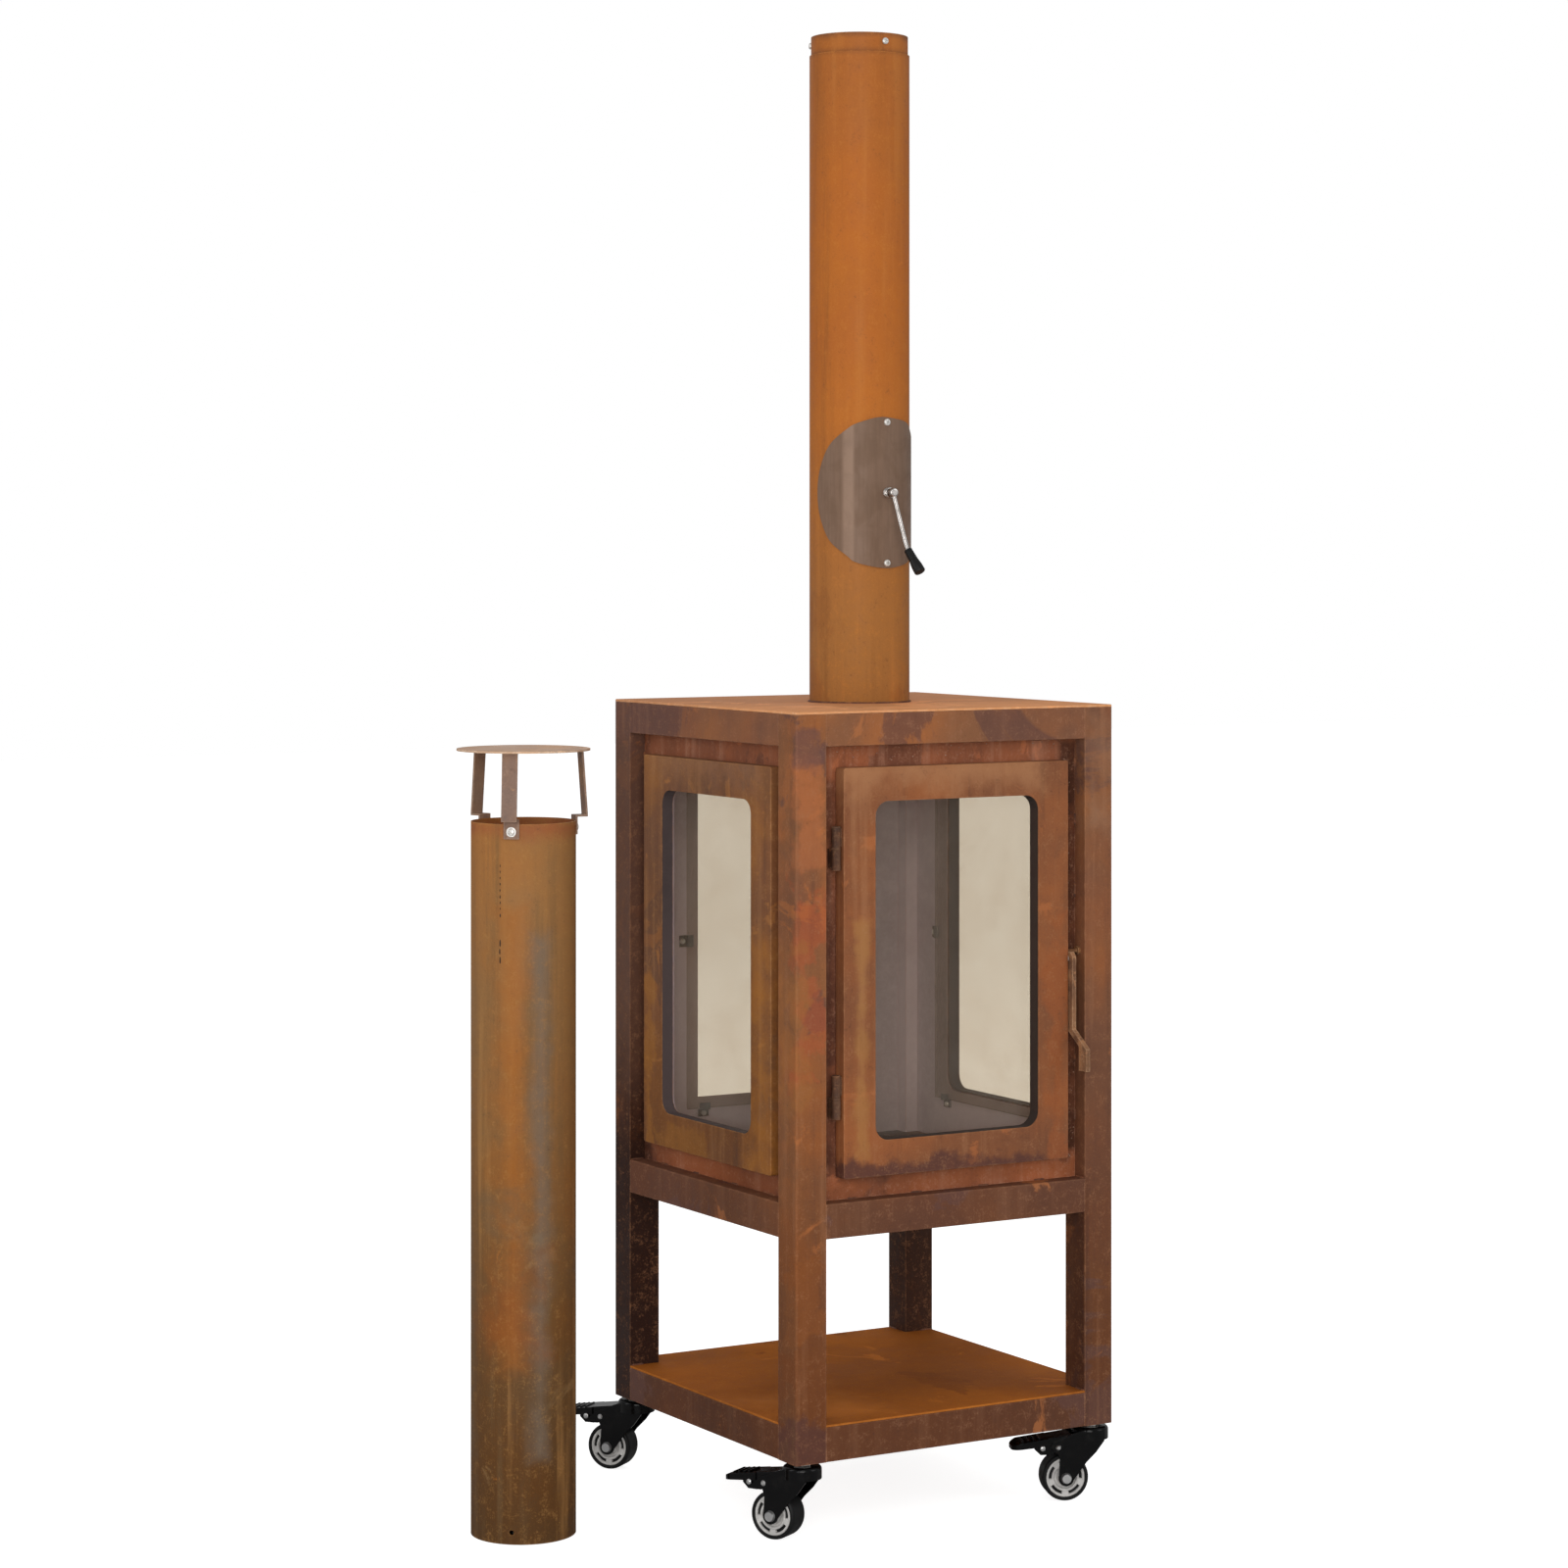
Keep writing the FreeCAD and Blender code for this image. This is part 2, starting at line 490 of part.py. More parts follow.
# ---- loose upper flue with its rain cap ----
def upper_flue_nodes():
    """Second length of flue, stood on the floor, with a flat rain cap on three straps."""
    pipe = rod((0, 0, 0), (0, 0, FLUE_LENGTH), FLUE_R).cut(rod((0, 0, -1), (0, 0, 900), FLUE_IN_R))
    strap_in = FLUE_R
    knee_r = 66.6
    profile = ((61.8, CAP_Z), (63.8, CAP_Z), (knee_r + 2, FLUE_LENGTH + 6.5), (knee_r + 2, FLUE_LENGTH + 3),
               (strap_in + 2, FLUE_LENGTH + 3), (strap_in + 2, FLUE_LENGTH - 15.5),
               (strap_in, FLUE_LENGTH - 15.5), (strap_in, FLUE_LENGTH + 5), (knee_r, FLUE_LENGTH + 5),
               (knee_r, FLUE_LENGTH + 6.5))
    strap = plate_xz(profile, -STRAP_W / 2, STRAP_W / 2)
    straps = []
    screws = []
    for degrees in STRAP_ANGLES:
        screw, hole = radial_screw(FLUE_R + 2, FLUE_LENGTH - 8, degrees, 2 + FLUE_WALL)
        screws.append(moved(screw, LOOSE_X, LOOSE_Y))
        straps.append(moved(turned(strap, degrees).cut(hole), LOOSE_X, LOOSE_Y))
        joint_hole = rod((FLUE_R - 5, 0, 12.5), (FLUE_R + 5, 0, 12.5), 2.5)
        pipe = pipe.cut(hole).cut(turned(joint_hole, degrees))
    save("upper_flue", moved(pipe, LOOSE_X, LOOSE_Y))
    save("cap_straps", *straps)
    save("strap_screws", *screws)
    save("rain_cap", moved(rod((0, 0, CAP_Z), (0, 0, CAP_Z + CAP_T), CAP_R), LOOSE_X, LOOSE_Y))


# ---- casters ----
# Local frame of a caster: the stem is on the Z axis, the wheel trails to +X.
PEDAL_X = 37.5               # rivet that the brake pedal turns on
PEDAL_Z = 59.0
SHOE_X = 55.0                # rivet of the brake shoe, in the pedal
SHOE_Z = 58.5
LEG_IN = 14.4
LEG_OUT = 16.8
RIVET_R = 2.0
HEAD_R = 20.5
HEAD_TOP = 79.5
HEAD_BOTTOM = 66.0


def across(x, z, radius, half_w):
    """A round bar across the caster, centred on its middle plane."""
    return rod((x, -half_w, z), (x, half_w, z), radius)


def caster_fork():
    """Swivel head and two legs, which narrow down to the axle and carry the pedal on an arm each."""
    head = rod((0, 0, HEAD_BOTTOM), (0, 0, HEAD_TOP), HEAD_R)
    head = round_edges(head, 4.0, lambda c, t: c.z > HEAD_TOP - 0.1)
    head = head.cut(rod((0, 0, HEAD_BOTTOM), (0, 0, HEAD_TOP - 2.5), HEAD_R - 2.3))
    outline = ((-13, 76), (-13, 65), (-4, 53), (7, 42), (20.9, 23.2), (37.2, 23.5), (36, 46.5), (38.5, 52.5),
               (43.5, 54.5), (45.5, 60), (43.5, 64.5), (34, 68), (20, 74), (13.9, 76))
    leg = plate_xz(outline, LEG_IN, LEG_OUT)
    leg = leg.fuse(rod((CASTER_TRAIL, LEG_IN, WHEEL_R), (CASTER_TRAIL, LEG_OUT, WHEEL_R), 8.5))
    fork = head.fuse([leg, leg.mirror(ORIGIN, Y_AXIS)])
    fork = fork.cut(rod((0, 0, 0), (0, 0, 100), STEM_R + RUNNING))
    for x, z, r in ((CASTER_TRAIL, WHEEL_R, AXLE_R), (PEDAL_X, PEDAL_Z, RIVET_R)):
        fork = fork.cut(across(x, z, r, 30))
    return fork.removeSplitter()


def headed_pin(x, z, radius, half_w, head_r, head_h):
    """A bar across the caster with a tapered head on each end."""
    pin = across(x, z, radius, half_w)
    for side in (-1, 1):
        pin = pin.fuse(rod((x, side * half_w, z), (x, side * (half_w + head_h), z), head_r, head_r - 1.2))
    return pin


def caster_pins():
    """Axle and pedal rivet."""
    return [headed_pin(CASTER_TRAIL, WHEEL_R, AXLE_R, LEG_OUT, 6.0, 3.2),
            headed_pin(PEDAL_X, PEDAL_Z, RIVET_R, LEG_OUT, 2.9, 1.4)]


def ring_about_axle(points):
    """A solid of revolution about the axle from (radius, width) points of one half, mirrored."""
    full = list(points) + [(r, -w) for r, w in reversed(points)]
    solid = revolve_z(full)
    solid.rotate(ORIGIN, X_AXIS, 90)
    return moved(solid, CASTER_TRAIL, 0, WHEEL_R)


def caster_wheel_core():
    """Hub, web and rim of the wheel, with five curved pockets in each face of the rim."""
    bore = AXLE_R + RUNNING
    hub_w = LEG_IN - GAP
    core = ring_about_axle(((bore, hub_w), (8.5, hub_w), (9.5, 8.0), (12.0, 8.0), (12.5, 11.2), (21.3, 11.2)))
    ring = rod((0, 0, 8.7), (0, 0, 12), 18.4).cut(rod((0, 0, 8.7), (0, 0, 12), 15.0))
    wedge_r = 30.0
    half = math.radians(24)
    corners = [FreeCAD.Vector(0, 0, 8), FreeCAD.Vector(wedge_r * math.cos(half), -wedge_r * math.sin(half), 8),
               FreeCAD.Vector(wedge_r * math.cos(half), wedge_r * math.sin(half), 8)]
    wedge = Part.Face(Part.makePolygon(corners + corners[:1])).extrude(FreeCAD.Vector(0, 0, 5))
    pocket = ring.common(wedge)
    pockets = []
    for step in range(5):
        one = turned(pocket, 72 * step + 18)
        one.rotate(ORIGIN, X_AXIS, 90)
        one = moved(one, CASTER_TRAIL, 0, WHEEL_R)
        pockets += [one, one.mirror(ORIGIN, Y_AXIS)]
    return core.cut(pockets)


def caster_tyre():
    """Solid tread with rounded shoulders."""
    return ring_about_axle(((21.3, 12.0), (22.2, 12.9), (23.8, 12.9), (25.0, 11.9), (WHEEL_R, 9.6)))


def caster_pedal():
    """Brake pedal: two cheeks between the legs, a shoe over the tyre and a deep sloping foot plate."""
    cheek_out = LEG_IN - GAP
    cheek = plate_xz(((30, 70), (30, 55.5), (38, 54), (46, 51), (57, 51), (63.5, 57), (63.5, 62), (50, 67)),
                     cheek_out - 1.9, cheek_out)
    plate = plate_xz(((23, 72.2), (50, 68.5), (50, 66), (23, 69.7)), -cheek_out, cheek_out)
    foot_top = ((47.5, 68.8), (66, 66.2), (80, 64.2), (88, 60.5))
    foot = plate_xz(foot_top + ((88, 56.5), (80, 57.5), (64, 59), (47.5, 60.5)), -16, 16)
    plan = box(40, 88, -16, 16, 40, 80)
    plan = round_edges(plan, 11.0, lambda c, t: abs(t.z) > 0.9 and c.x > 80)
    foot = foot.common(plan)
    pocket = plate_xz(((49.5, 66.2), (66, 63.9), (80, 61.9), (84, 60), (84, 50), (49.5, 50)), -13.5, 13.5)
    pocket_plan = box(40, 85.8, -13.5, 13.5, 40, 80)
    pocket_plan = round_edges(pocket_plan, 9.0, lambda c, t: abs(t.z) > 0.9 and c.x > 80)
    foot = foot.cut(pocket.common(pocket_plan))
    shoe = box(42, 50, -cheek_out + 1, cheek_out - 1, 51, 67.5)
    ribs = []
    for x in (57, 63, 69, 75):
        z = 66.2 - (x - 66) / 7.0
        ribs.append(plate_xz(((x, z - 1), (x + 2.2, z - 1.3), (x + 2.0, z + 1.1), (x + 0.4, z + 1.3)), -11, 11))
    rivet = headed_pin(SHOE_X, SHOE_Z, RIVET_R, 16.0, 2.9, 1.4)
    pedal = plate.fuse([cheek, cheek.mirror(ORIGIN, Y_AXIS), foot, shoe, rivet] + ribs)
    return pedal.cut(across(PEDAL_X, PEDAL_Z, RIVET_R + RUNNING, 30)).removeSplitter()


def caster_nodes():
    """Four casters, each turned to the direction that it trails to."""
    stem = rod((0, 0, HEAD_TOP - 4.5), (0, 0, FRAME_BOTTOM + 16), STEM_R)
    stem = stem.fuse(rod((0, 0, HEAD_TOP - 7), (0, 0, HEAD_TOP - 2.5 - GAP), 9.0))
    hexagon = [(8.5 / math.cos(math.pi / 6) * math.cos(math.radians(60 * i)),
                8.5 / math.cos(math.pi / 6) * math.sin(math.radians(60 * i))) for i in range(6)]
    corners = [FreeCAD.Vector(x, y, HEAD_TOP + GAP) for x, y in hexagon]
    nut = Part.Face(Part.makePolygon(corners + corners[:1])).extrude(
        FreeCAD.Vector(0, 0, FRAME_BOTTOM - HEAD_TOP - GAP))
    nut = nut.cut(rod((0, 0, 0), (0, 0, 100), STEM_R))
    stems = []
    for name, (sx, sy, degrees) in CASTERS.items():
        def placed(shape):
            return moved(turned(shape, degrees), sx * CASTER_AT, sy * CASTER_AT)
        stems += [placed(stem), placed(nut)]
        save("caster_fork_" + name, placed(caster_fork()))
        save("caster_pins_" + name, *[placed(p) for p in caster_pins()])
        save("caster_wheel_" + name, placed(caster_wheel_core()))
        save("caster_tyre_" + name, placed(caster_tyre()))
        save("caster_pedal_" + name, placed(caster_pedal()))
    save("caster_stems", *stems)


os.makedirs("parts", exist_ok=True)
frame_nodes()
firebox_nodes()
door_nodes()
hinge_nodes()
latch_nodes()
flue_nodes()
damper_nodes()
upper_flue_nodes()
caster_nodes()
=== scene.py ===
import json
import math
import random

import bmesh
import bpy
from mathutils import Matrix, Vector


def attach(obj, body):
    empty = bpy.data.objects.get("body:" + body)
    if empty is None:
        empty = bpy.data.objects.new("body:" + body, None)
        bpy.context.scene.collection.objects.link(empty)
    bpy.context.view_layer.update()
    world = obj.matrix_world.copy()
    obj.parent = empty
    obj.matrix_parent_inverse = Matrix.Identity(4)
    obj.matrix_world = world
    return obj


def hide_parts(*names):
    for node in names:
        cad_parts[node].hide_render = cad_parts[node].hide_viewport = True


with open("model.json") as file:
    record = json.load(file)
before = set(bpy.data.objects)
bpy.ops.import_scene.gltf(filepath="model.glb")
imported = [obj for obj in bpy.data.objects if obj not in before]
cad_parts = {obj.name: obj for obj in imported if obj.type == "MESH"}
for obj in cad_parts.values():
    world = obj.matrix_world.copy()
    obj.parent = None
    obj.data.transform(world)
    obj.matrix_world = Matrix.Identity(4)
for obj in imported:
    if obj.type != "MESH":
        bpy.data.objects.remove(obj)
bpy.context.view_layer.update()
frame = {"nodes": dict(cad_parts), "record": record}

SCENE = bpy.context.scene
NODES = frame["nodes"]
SLOT_OF = {s["node"]: s["material_slot"] for s in frame["record"]["subparts"]}

# Places and sizes of the object, in metres and along the frame's axes.
HALF = 0.200                 # outer faces of the square frame
WALL_FRONT = 0.1815          # outer faces of the sheet walls
FRAME_TOP = 0.8645
TUBE = 0.0365                # width of the posts and rails
POST_IN = HALF - TUBE        # inner faces of the posts
TOP_RAIL_BOTTOM = FRAME_TOP - TUBE
MID_RAIL_TOP = 0.3515
SHELF_TOP = 0.1215
DOOR_EDGE = 0.1478           # where the strip of wall beside the door begins
WINDOW_MID = 0.590           # middle height of the firebox windows
FLUE_R = 0.0553              # outer radius of both flues
SLEEVE_R = 0.0536            # outer radius of the joint sleeve
SLEEVE_SCREW_Z = 1.5895
SLEEVE_SCREW_ANGLES = (30, 150, 270)    # degrees about the flue's axis
DAMPER_Z = 1.095
COVER_FRONT = FLUE_R + 0.0018           # outer face of the damper cover, from the flue's axis
COVER_SCREW_REACH = 0.077    # from the spindle up and down to the cover's screws
LOOSE_X = -0.415             # axis of the loose flue
SEAM_ANGLE = -142.8          # degrees about the loose flue's axis
STRAP_ANGLES = (-129.5, -9.5, 110.5)    # degrees about the loose flue's axis
STRAP_FRONT = FLUE_R + 0.0020           # outer face of the straps, from the loose flue's axis
STRAP_SCREW_Z = 0.740
CASTER_AT = 0.182            # the stems' axes, along x and along y
CASTER_TRAIL = 0.029         # from a stem's axis to its axle
WHEEL_R = 0.0255             # also the height of the axles
WHEEL_FACE = 0.0112          # side of a wheel from its middle
SHOE_RIVET = (0.055, 0.0160, 0.0585)    # from the stem's axis: along the trail, to the side, up
CASTERS = {                  # signs of x and y, and the direction that the wheel trails to, in degrees
    "front_left": (-1, -1, 119.5),
    "front_right": (1, -1, 157.5),
    "rear_left": (-1, 1, 126.6),
    "rear_right": (1, 1, 150.0),
}


# ---------------------------------------------------------------- camera, light and floor
def make_camera():
    """Level camera, 1.04 m up, that looks past the front left corner of the firebox."""
    data = bpy.data.cameras.new("view_camera")
    data.sensor_width = 36.0
    data.lens = 89.44
    data.shift_y = -0.1552
    data.clip_start = 0.1
    data.clip_end = 60.0
    data.dof.use_dof = False
    camera = bpy.data.objects.new("view_camera", data)
    camera.location = (-2.2582, -3.6716, 1.0425)
    look_x, look_y = 0.5073, 0.8618
    heading = math.atan2(look_y, look_x)
    camera.rotation_euler = (math.pi / 2, 0.0, heading - math.pi / 2)
    SCENE.collection.objects.link(camera)
    SCENE.camera = camera


def make_surround():
    """White surround: full strength for the camera, weaker as a light."""
    world = bpy.data.worlds.new("white_surround")
    world.use_nodes = True
    nodes, link = world.node_tree.nodes, world.node_tree.links.new
    nodes["Background"].inputs["Color"].default_value = (1.0, 1.0, 1.0, 1.0)
    seen = nodes.new("ShaderNodeLightPath")
    level = nodes.new("ShaderNodeMapRange")
    level.inputs["To Min"].default_value = 0.42
    level.inputs["To Max"].default_value = 1.0
    link(seen.outputs["Is Camera Ray"], level.inputs["Value"])
    link(level.outputs["Result"], nodes["Background"].inputs["Strength"])
    SCENE.world = world


def area_light(name, place, target, size, power, colour=(1.0, 1.0, 1.0)):
    """A rectangular softbox at place that points at target."""
    data = bpy.data.lights.new(name, "AREA")
    data.shape = "RECTANGLE"
    data.size, data.size_y = size
    data.energy = power
    data.color = colour
    light = bpy.data.objects.new(name, data)
    light.location = place
    aim = Vector(target) - Vector(place)
    light.rotation_euler = aim.to_track_quat("-Z", "Y").to_euler()
    SCENE.collection.objects.link(light)


def make_lamps():
    """Key and front softboxes near the camera, three fills and a narrow strip for the edges."""
    warm = (1.0, 0.985, 0.96)
    area_light("key_softbox", (-2.2, -3.8, 3.6), (0.0, 0.0, 1.0), (1.8, 2.0), 34.0, warm)
    area_light("front_softbox", (-2.5, -4.2, 1.1), (0.0, 0.0, 0.7), (2.6, 2.0), 78.0, warm)
    area_light("fill_softbox", (2.8, -3.4, 2.4), (0.0, 0.0, 0.9), (2.0, 2.4), 26.0)
    area_light("left_softbox", (-3.6, 0.6, 2.2), (0.0, 0.0, 1.2), (1.2, 2.6), 20.0)
    area_light("strip_softbox", (-3.3, -2.15, 1.1), (0.0, 0.0, 1.1), (0.12, 1.8), 11.0)
    area_light("back_softbox", (1.2, 3.6, 3.2), (0.0, 0.0, 1.2), (2.4, 1.4), 30.0)


def floor_material():
    """Pale floor that glows for the camera only, and not inside the foot of the loose flue."""
    material = bpy.data.materials.new("pale_floor")
    material.use_nodes = True
    shader = material.node_tree.nodes["Principled BSDF"]
    shader.inputs["Base Color"].default_value = (0.55, 0.55, 0.55, 1.0)
    shader.inputs["Roughness"].default_value = 0.7
    shader.inputs["Emission Color"].default_value = (1.0, 1.0, 1.0, 1.0)
    new, link = material.node_tree.nodes.new, material.node_tree.links.new
    place = new("ShaderNodeTexCoord")
    place.object = NODES["upper_flue"]
    away = new("ShaderNodeVectorMath")
    away.operation = "DISTANCE"
    away.inputs[1].default_value = (LOOSE_X, 0.0, 0.0)
    link(place.outputs["Object"], away.inputs[0])
    open_floor = new("ShaderNodeMapRange")
    open_floor.inputs["From Min"].default_value = 0.050
    open_floor.inputs["From Max"].default_value = 0.056
    link(away.outputs["Value"], open_floor.inputs["Value"])
    seen = new("ShaderNodeLightPath")
    glow = new("ShaderNodeMath")
    glow.operation = "MULTIPLY"
    link(seen.outputs["Is Camera Ray"], glow.inputs[0])
    link(open_floor.outputs["Result"], glow.inputs[1])
    level = new("ShaderNodeMath")
    level.operation = "MULTIPLY"
    level.inputs[1].default_value = 0.86
    link(glow.outputs[0], level.inputs[0])
    link(level.outputs[0], shader.inputs["Emission Strength"])
    return material


def make_floor():
    """A wide flat floor just under the wheels."""
    mesh = bpy.data.meshes.new("studio_floor")
    form = bmesh.new()
    bmesh.ops.create_grid(form, x_segments=2, y_segments=2, size=14.0)
    form.to_mesh(mesh)
    form.free()
    floor = bpy.data.objects.new("studio_floor", mesh)
    floor.location = (0.0, 0.0, -0.0004)
    SCENE.collection.objects.link(floor)
    mesh.materials.append(floor_material())


def make_studio():
    """Surround, lamps and floor, with plain display colours."""
    make_surround()
    make_lamps()
    make_floor()
    SCENE.view_settings.view_transform = "Standard"
    SCENE.view_settings.look = "None"


# ---------------------------------------------------------------- node graph helpers
def srgb(red, green, blue):
    """A linear colour from 0..255 display values."""
    def linear(value):
        share = value / 255.0
        return share / 12.92 if share <= 0.04045 else ((share + 0.055) / 1.055) ** 2.4
    return (linear(red), linear(green), linear(blue), 1.0)


class Graph:
    """A material under construction: one Principled shader and the nodes that feed it."""

    def __init__(self, name):
        self.material = bpy.data.materials.new(name)
        self.material.use_nodes = True
        self.tree = self.material.node_tree
        self.shader = self.tree.nodes["Principled BSDF"]
        self.place = self.tree.nodes.new("ShaderNodeTexCoord").outputs["Object"]

    def new(self, kind, **settings):
        """Adds a node, with its settings."""
        node = self.tree.nodes.new("ShaderNode" + kind)
        for key, value in settings.items():
            setattr(node, key, value)
        return node

    def feed(self, socket, value):
        """Links a socket, or sets its value."""
        if isinstance(value, bpy.types.NodeSocket):
            self.tree.links.new(value, socket)
        else:
            socket.default_value = value

    def set(self, **inputs):
        """Sets inputs of the Principled shader: base_color becomes Base Color."""
        for key, value in inputs.items():
            words = key.replace("_", " ").title().replace("Ior", "IOR")
            self.feed(self.shader.inputs[words], value)

    def stretched(self, stretch, shift=(0.0, 0.0, 0.0)):
        """Object coordinates, scaled along each axis."""
        mapping = self.new("Mapping")
        self.feed(mapping.inputs["Vector"], self.place)
        mapping.inputs["Scale"].default_value = stretch
        mapping.inputs["Location"].default_value = shift
        return mapping.outputs["Vector"]

    def noise(self, scale, detail=4.0, rough=0.55, warp=0.0, stretch=(1.0, 1.0, 1.0), shift=(0.0, 0.0, 0.0)):
        """Cloudy noise of 0 to 1."""
        node = self.new("TexNoise")
        self.feed(node.inputs["Vector"], self.stretched(stretch, shift))
        node.inputs["Scale"].default_value = scale
        node.inputs["Detail"].default_value = detail
        node.inputs["Roughness"].default_value = rough
        node.inputs["Distortion"].default_value = warp
        return node.outputs["Fac"]

    def ramp(self, value, low, high, bottom=0.0, top=1.0):
        """value from low..high to bottom..top, eased and clamped."""
        node = self.new("MapRange", interpolation_type="SMOOTHSTEP")
        self.feed(node.inputs["Value"], value)
        for name, number in (("From Min", low), ("From Max", high), ("To Min", bottom), ("To Max", top)):
            node.inputs[name].default_value = number
        return node.outputs["Result"]

    def math(self, operation, first, second=0.0):
        """One arithmetic node."""
        node = self.new("Math", operation=operation)
        self.feed(node.inputs[0], first)
        self.feed(node.inputs[1], second)
        return node.outputs[0]

    def mix(self, share, first, second):
        """One colour over another, by a share of 0 to 1."""
        node = self.new("Mix", data_type="RGBA")
        self.feed(node.inputs["Factor"], share)
        self.feed(node.inputs["A"], first)
        self.feed(node.inputs["B"], second)
        return node.outputs["Result"]

    def axes(self):
        """The object coordinates one by one."""
        node = self.new("SeparateXYZ")
        self.feed(node.inputs["Vector"], self.place)
        return node.outputs

    def bump(self, height, distance, strength=1.0, edge=0.0):
        """A normal from a height, over edges that look rounded by edge metres."""
        node = self.new("Bump")
        node.inputs["Strength"].default_value = strength
        node.inputs["Distance"].default_value = distance
        self.feed(node.inputs["Height"], height)
        if edge:
            soft = self.new("Bevel", samples=4)
            soft.inputs["Radius"].default_value = edge
            self.feed(node.inputs["Normal"], soft.outputs["Normal"])
        self.feed(self.shader.inputs["Normal"], node.outputs["Normal"])

    def outside(self, centre, half):
        """How far a point is outside a box, negative inside it. None in centre leaves that axis free."""
        reach = None
        for axis, (middle, size) in enumerate(zip(centre, half)):
            if middle is None:
                continue
            away = self.math("ABSOLUTE", self.math("SUBTRACT", self.axes()[axis], middle))
            away = self.math("SUBTRACT", away, size)
            reach = away if reach is None else self.math("MAXIMUM", reach, away)
        return reach

    def zone(self, centre, half, ragged=0.02, soft=0.006, shift=0.0):
        """1 inside a box and 0 outside it, with a ragged edge."""
        reach = self.outside(centre, half)
        rough = self.noise(22.0, detail=5.0, rough=0.62, shift=(shift, shift * 0.7, shift * 1.3))
        wander = self.math("MULTIPLY", self.math("SUBTRACT", rough, 0.5), ragged * 4.0)
        return self.ramp(self.math("ADD", reach, wander), soft, -soft)


# ---------------------------------------------------------------- material recipes
def shade(colour, share, most=250):
    """A display colour made darker or lighter, but no channel over most, as a linear colour."""
    return srgb(*[min(most, c * share) for c in colour])


def rust(name, mid, warm, cool, pale, seed=0.0, scale=7.0, plum=0.5, fire=0.5, streaks=0.4,
         low=None, low_at=(0.0, 0.8), zones=(), rough=(0.55, 0.82), edge=0.0012, shine=0.22, inside=None):
    """Weathered corten steel: clouds of warm rust, ragged cool patches, streaks, grain and worn edges.

    mid, warm, cool, pale and low are display colours. low is the colour towards the ground.
    plum and fire are the shares of cool and warm patches. Streaks run up and down.
    zones is a list of (box centre, half size, display colour, strength, raggedness, and softness or nothing).
    inside is a display colour and the half size of the chamber whose faces have it."""
    g = Graph(name)
    shift = (seed, seed * 1.7, seed * 0.6)
    cloud = g.noise(scale, detail=5.0, rough=0.6, warp=0.4, shift=shift)
    colour = g.mix(g.ramp(cloud, 0.36, 0.66), srgb(*mid), srgb(*warm))
    tone = g.noise(scale * 0.42, detail=4.0, rough=0.55, warp=0.3, shift=(seed + 9.0, 1.0, seed))
    colour = g.mix(g.ramp(tone, 0.40, 0.62, 0.0, 0.65), colour, srgb(*cool))
    if low is not None:
        colour = g.mix(g.ramp(g.axes()[2], low_at[1], low_at[0], 0.0, 0.85), colour, srgb(*low))
    blotch = g.noise(scale * 0.8, detail=9.0, rough=0.62, warp=0.9, shift=(seed + 5.0, seed, 2.0))
    border = 0.66 - 0.2 * plum
    colour = g.mix(g.ramp(blotch, border, border + 0.03, 0.0, 0.7), colour, srgb(*cool))
    flame = g.noise(scale * 1.5, detail=9.0, rough=0.65, warp=1.2, shift=(seed - 4.0, 3.0, seed))
    border = 0.68 - 0.2 * fire
    colour = g.mix(g.ramp(flame, border, border + 0.05, 0.0, 0.62), colour, shade(warm, 1.12, most=255))
    streak = g.noise(46.0, detail=6.0, rough=0.62, stretch=(1.0, 1.0, 0.045), shift=(seed, 0.0, 0.0))
    colour = g.mix(g.ramp(streak, 0.52, 0.72, 0.0, streaks), colour, shade(cool, 0.78))
    colour = g.mix(g.ramp(streak, 0.48, 0.3, 0.0, streaks * 0.8), colour, srgb(*pale))
    for number, (centre, half, tint, strength, ragged, *soft) in enumerate(zones):
        mask = g.zone(centre, half, ragged, *soft, shift=seed + 3.1 * number)
        colour = g.mix(g.math("MULTIPLY", mask, strength), colour, srgb(*tint))
    grain = g.noise(420.0, detail=3.0, rough=0.7)
    coarse = g.noise(90.0, detail=6.0, rough=0.7, shift=shift)
    speck = g.math("ADD", g.math("MULTIPLY", grain, 0.45), g.math("MULTIPLY", coarse, 0.55))
    colour = g.mix(g.ramp(speck, 0.50, 0.66, 0.0, 0.34), colour, srgb(*pale))
    colour = g.mix(g.ramp(speck, 0.46, 0.30, 0.0, 0.42), colour, shade(cool, 0.55))
    if inside:
        colour = with_chamber(g, colour, inside, tone, speck)
    if edge:
        colour = with_worn_edges(g, colour, pale, edge, coarse)
    g.set(base_color=colour)
    gloss = g.math("ADD", g.math("MULTIPLY", cloud, 0.6), g.math("MULTIPLY", coarse, 0.4))
    g.set(roughness=g.ramp(gloss, 0.38, 0.62, rough[0], rough[1]), specular_ior_level=shine)
    height = g.math("ADD", g.math("MULTIPLY", speck, 0.6), g.math("MULTIPLY", blotch, 0.5))
    g.bump(height, 0.0008, 0.6, edge)
    return g.material


def with_chamber(g, colour, inside, tone, speck):
    """Colours the faces inside a box round the firebox: ashen on the walls and posts, painted shade on the
    reveals of the door and the window frames.
    """
    tint, half = inside
    # ash colour on the walls and posts, painted shade on the reveals of the door and the window frames
    ash_and_shade = g.mix(g.ramp(tone, 0.38, 0.64), srgb(*tint), shade(tint, 0.88))
    ash_and_shade = g.mix(g.ramp(speck, 0.42, 0.62, 0.0, 0.25), ash_and_shade, shade(tint, 1.1))
    return g.mix(g.ramp(g.outside((0.0, 0.0, WINDOW_MID), half), 0.0004, -0.0004), colour, ash_and_shade)


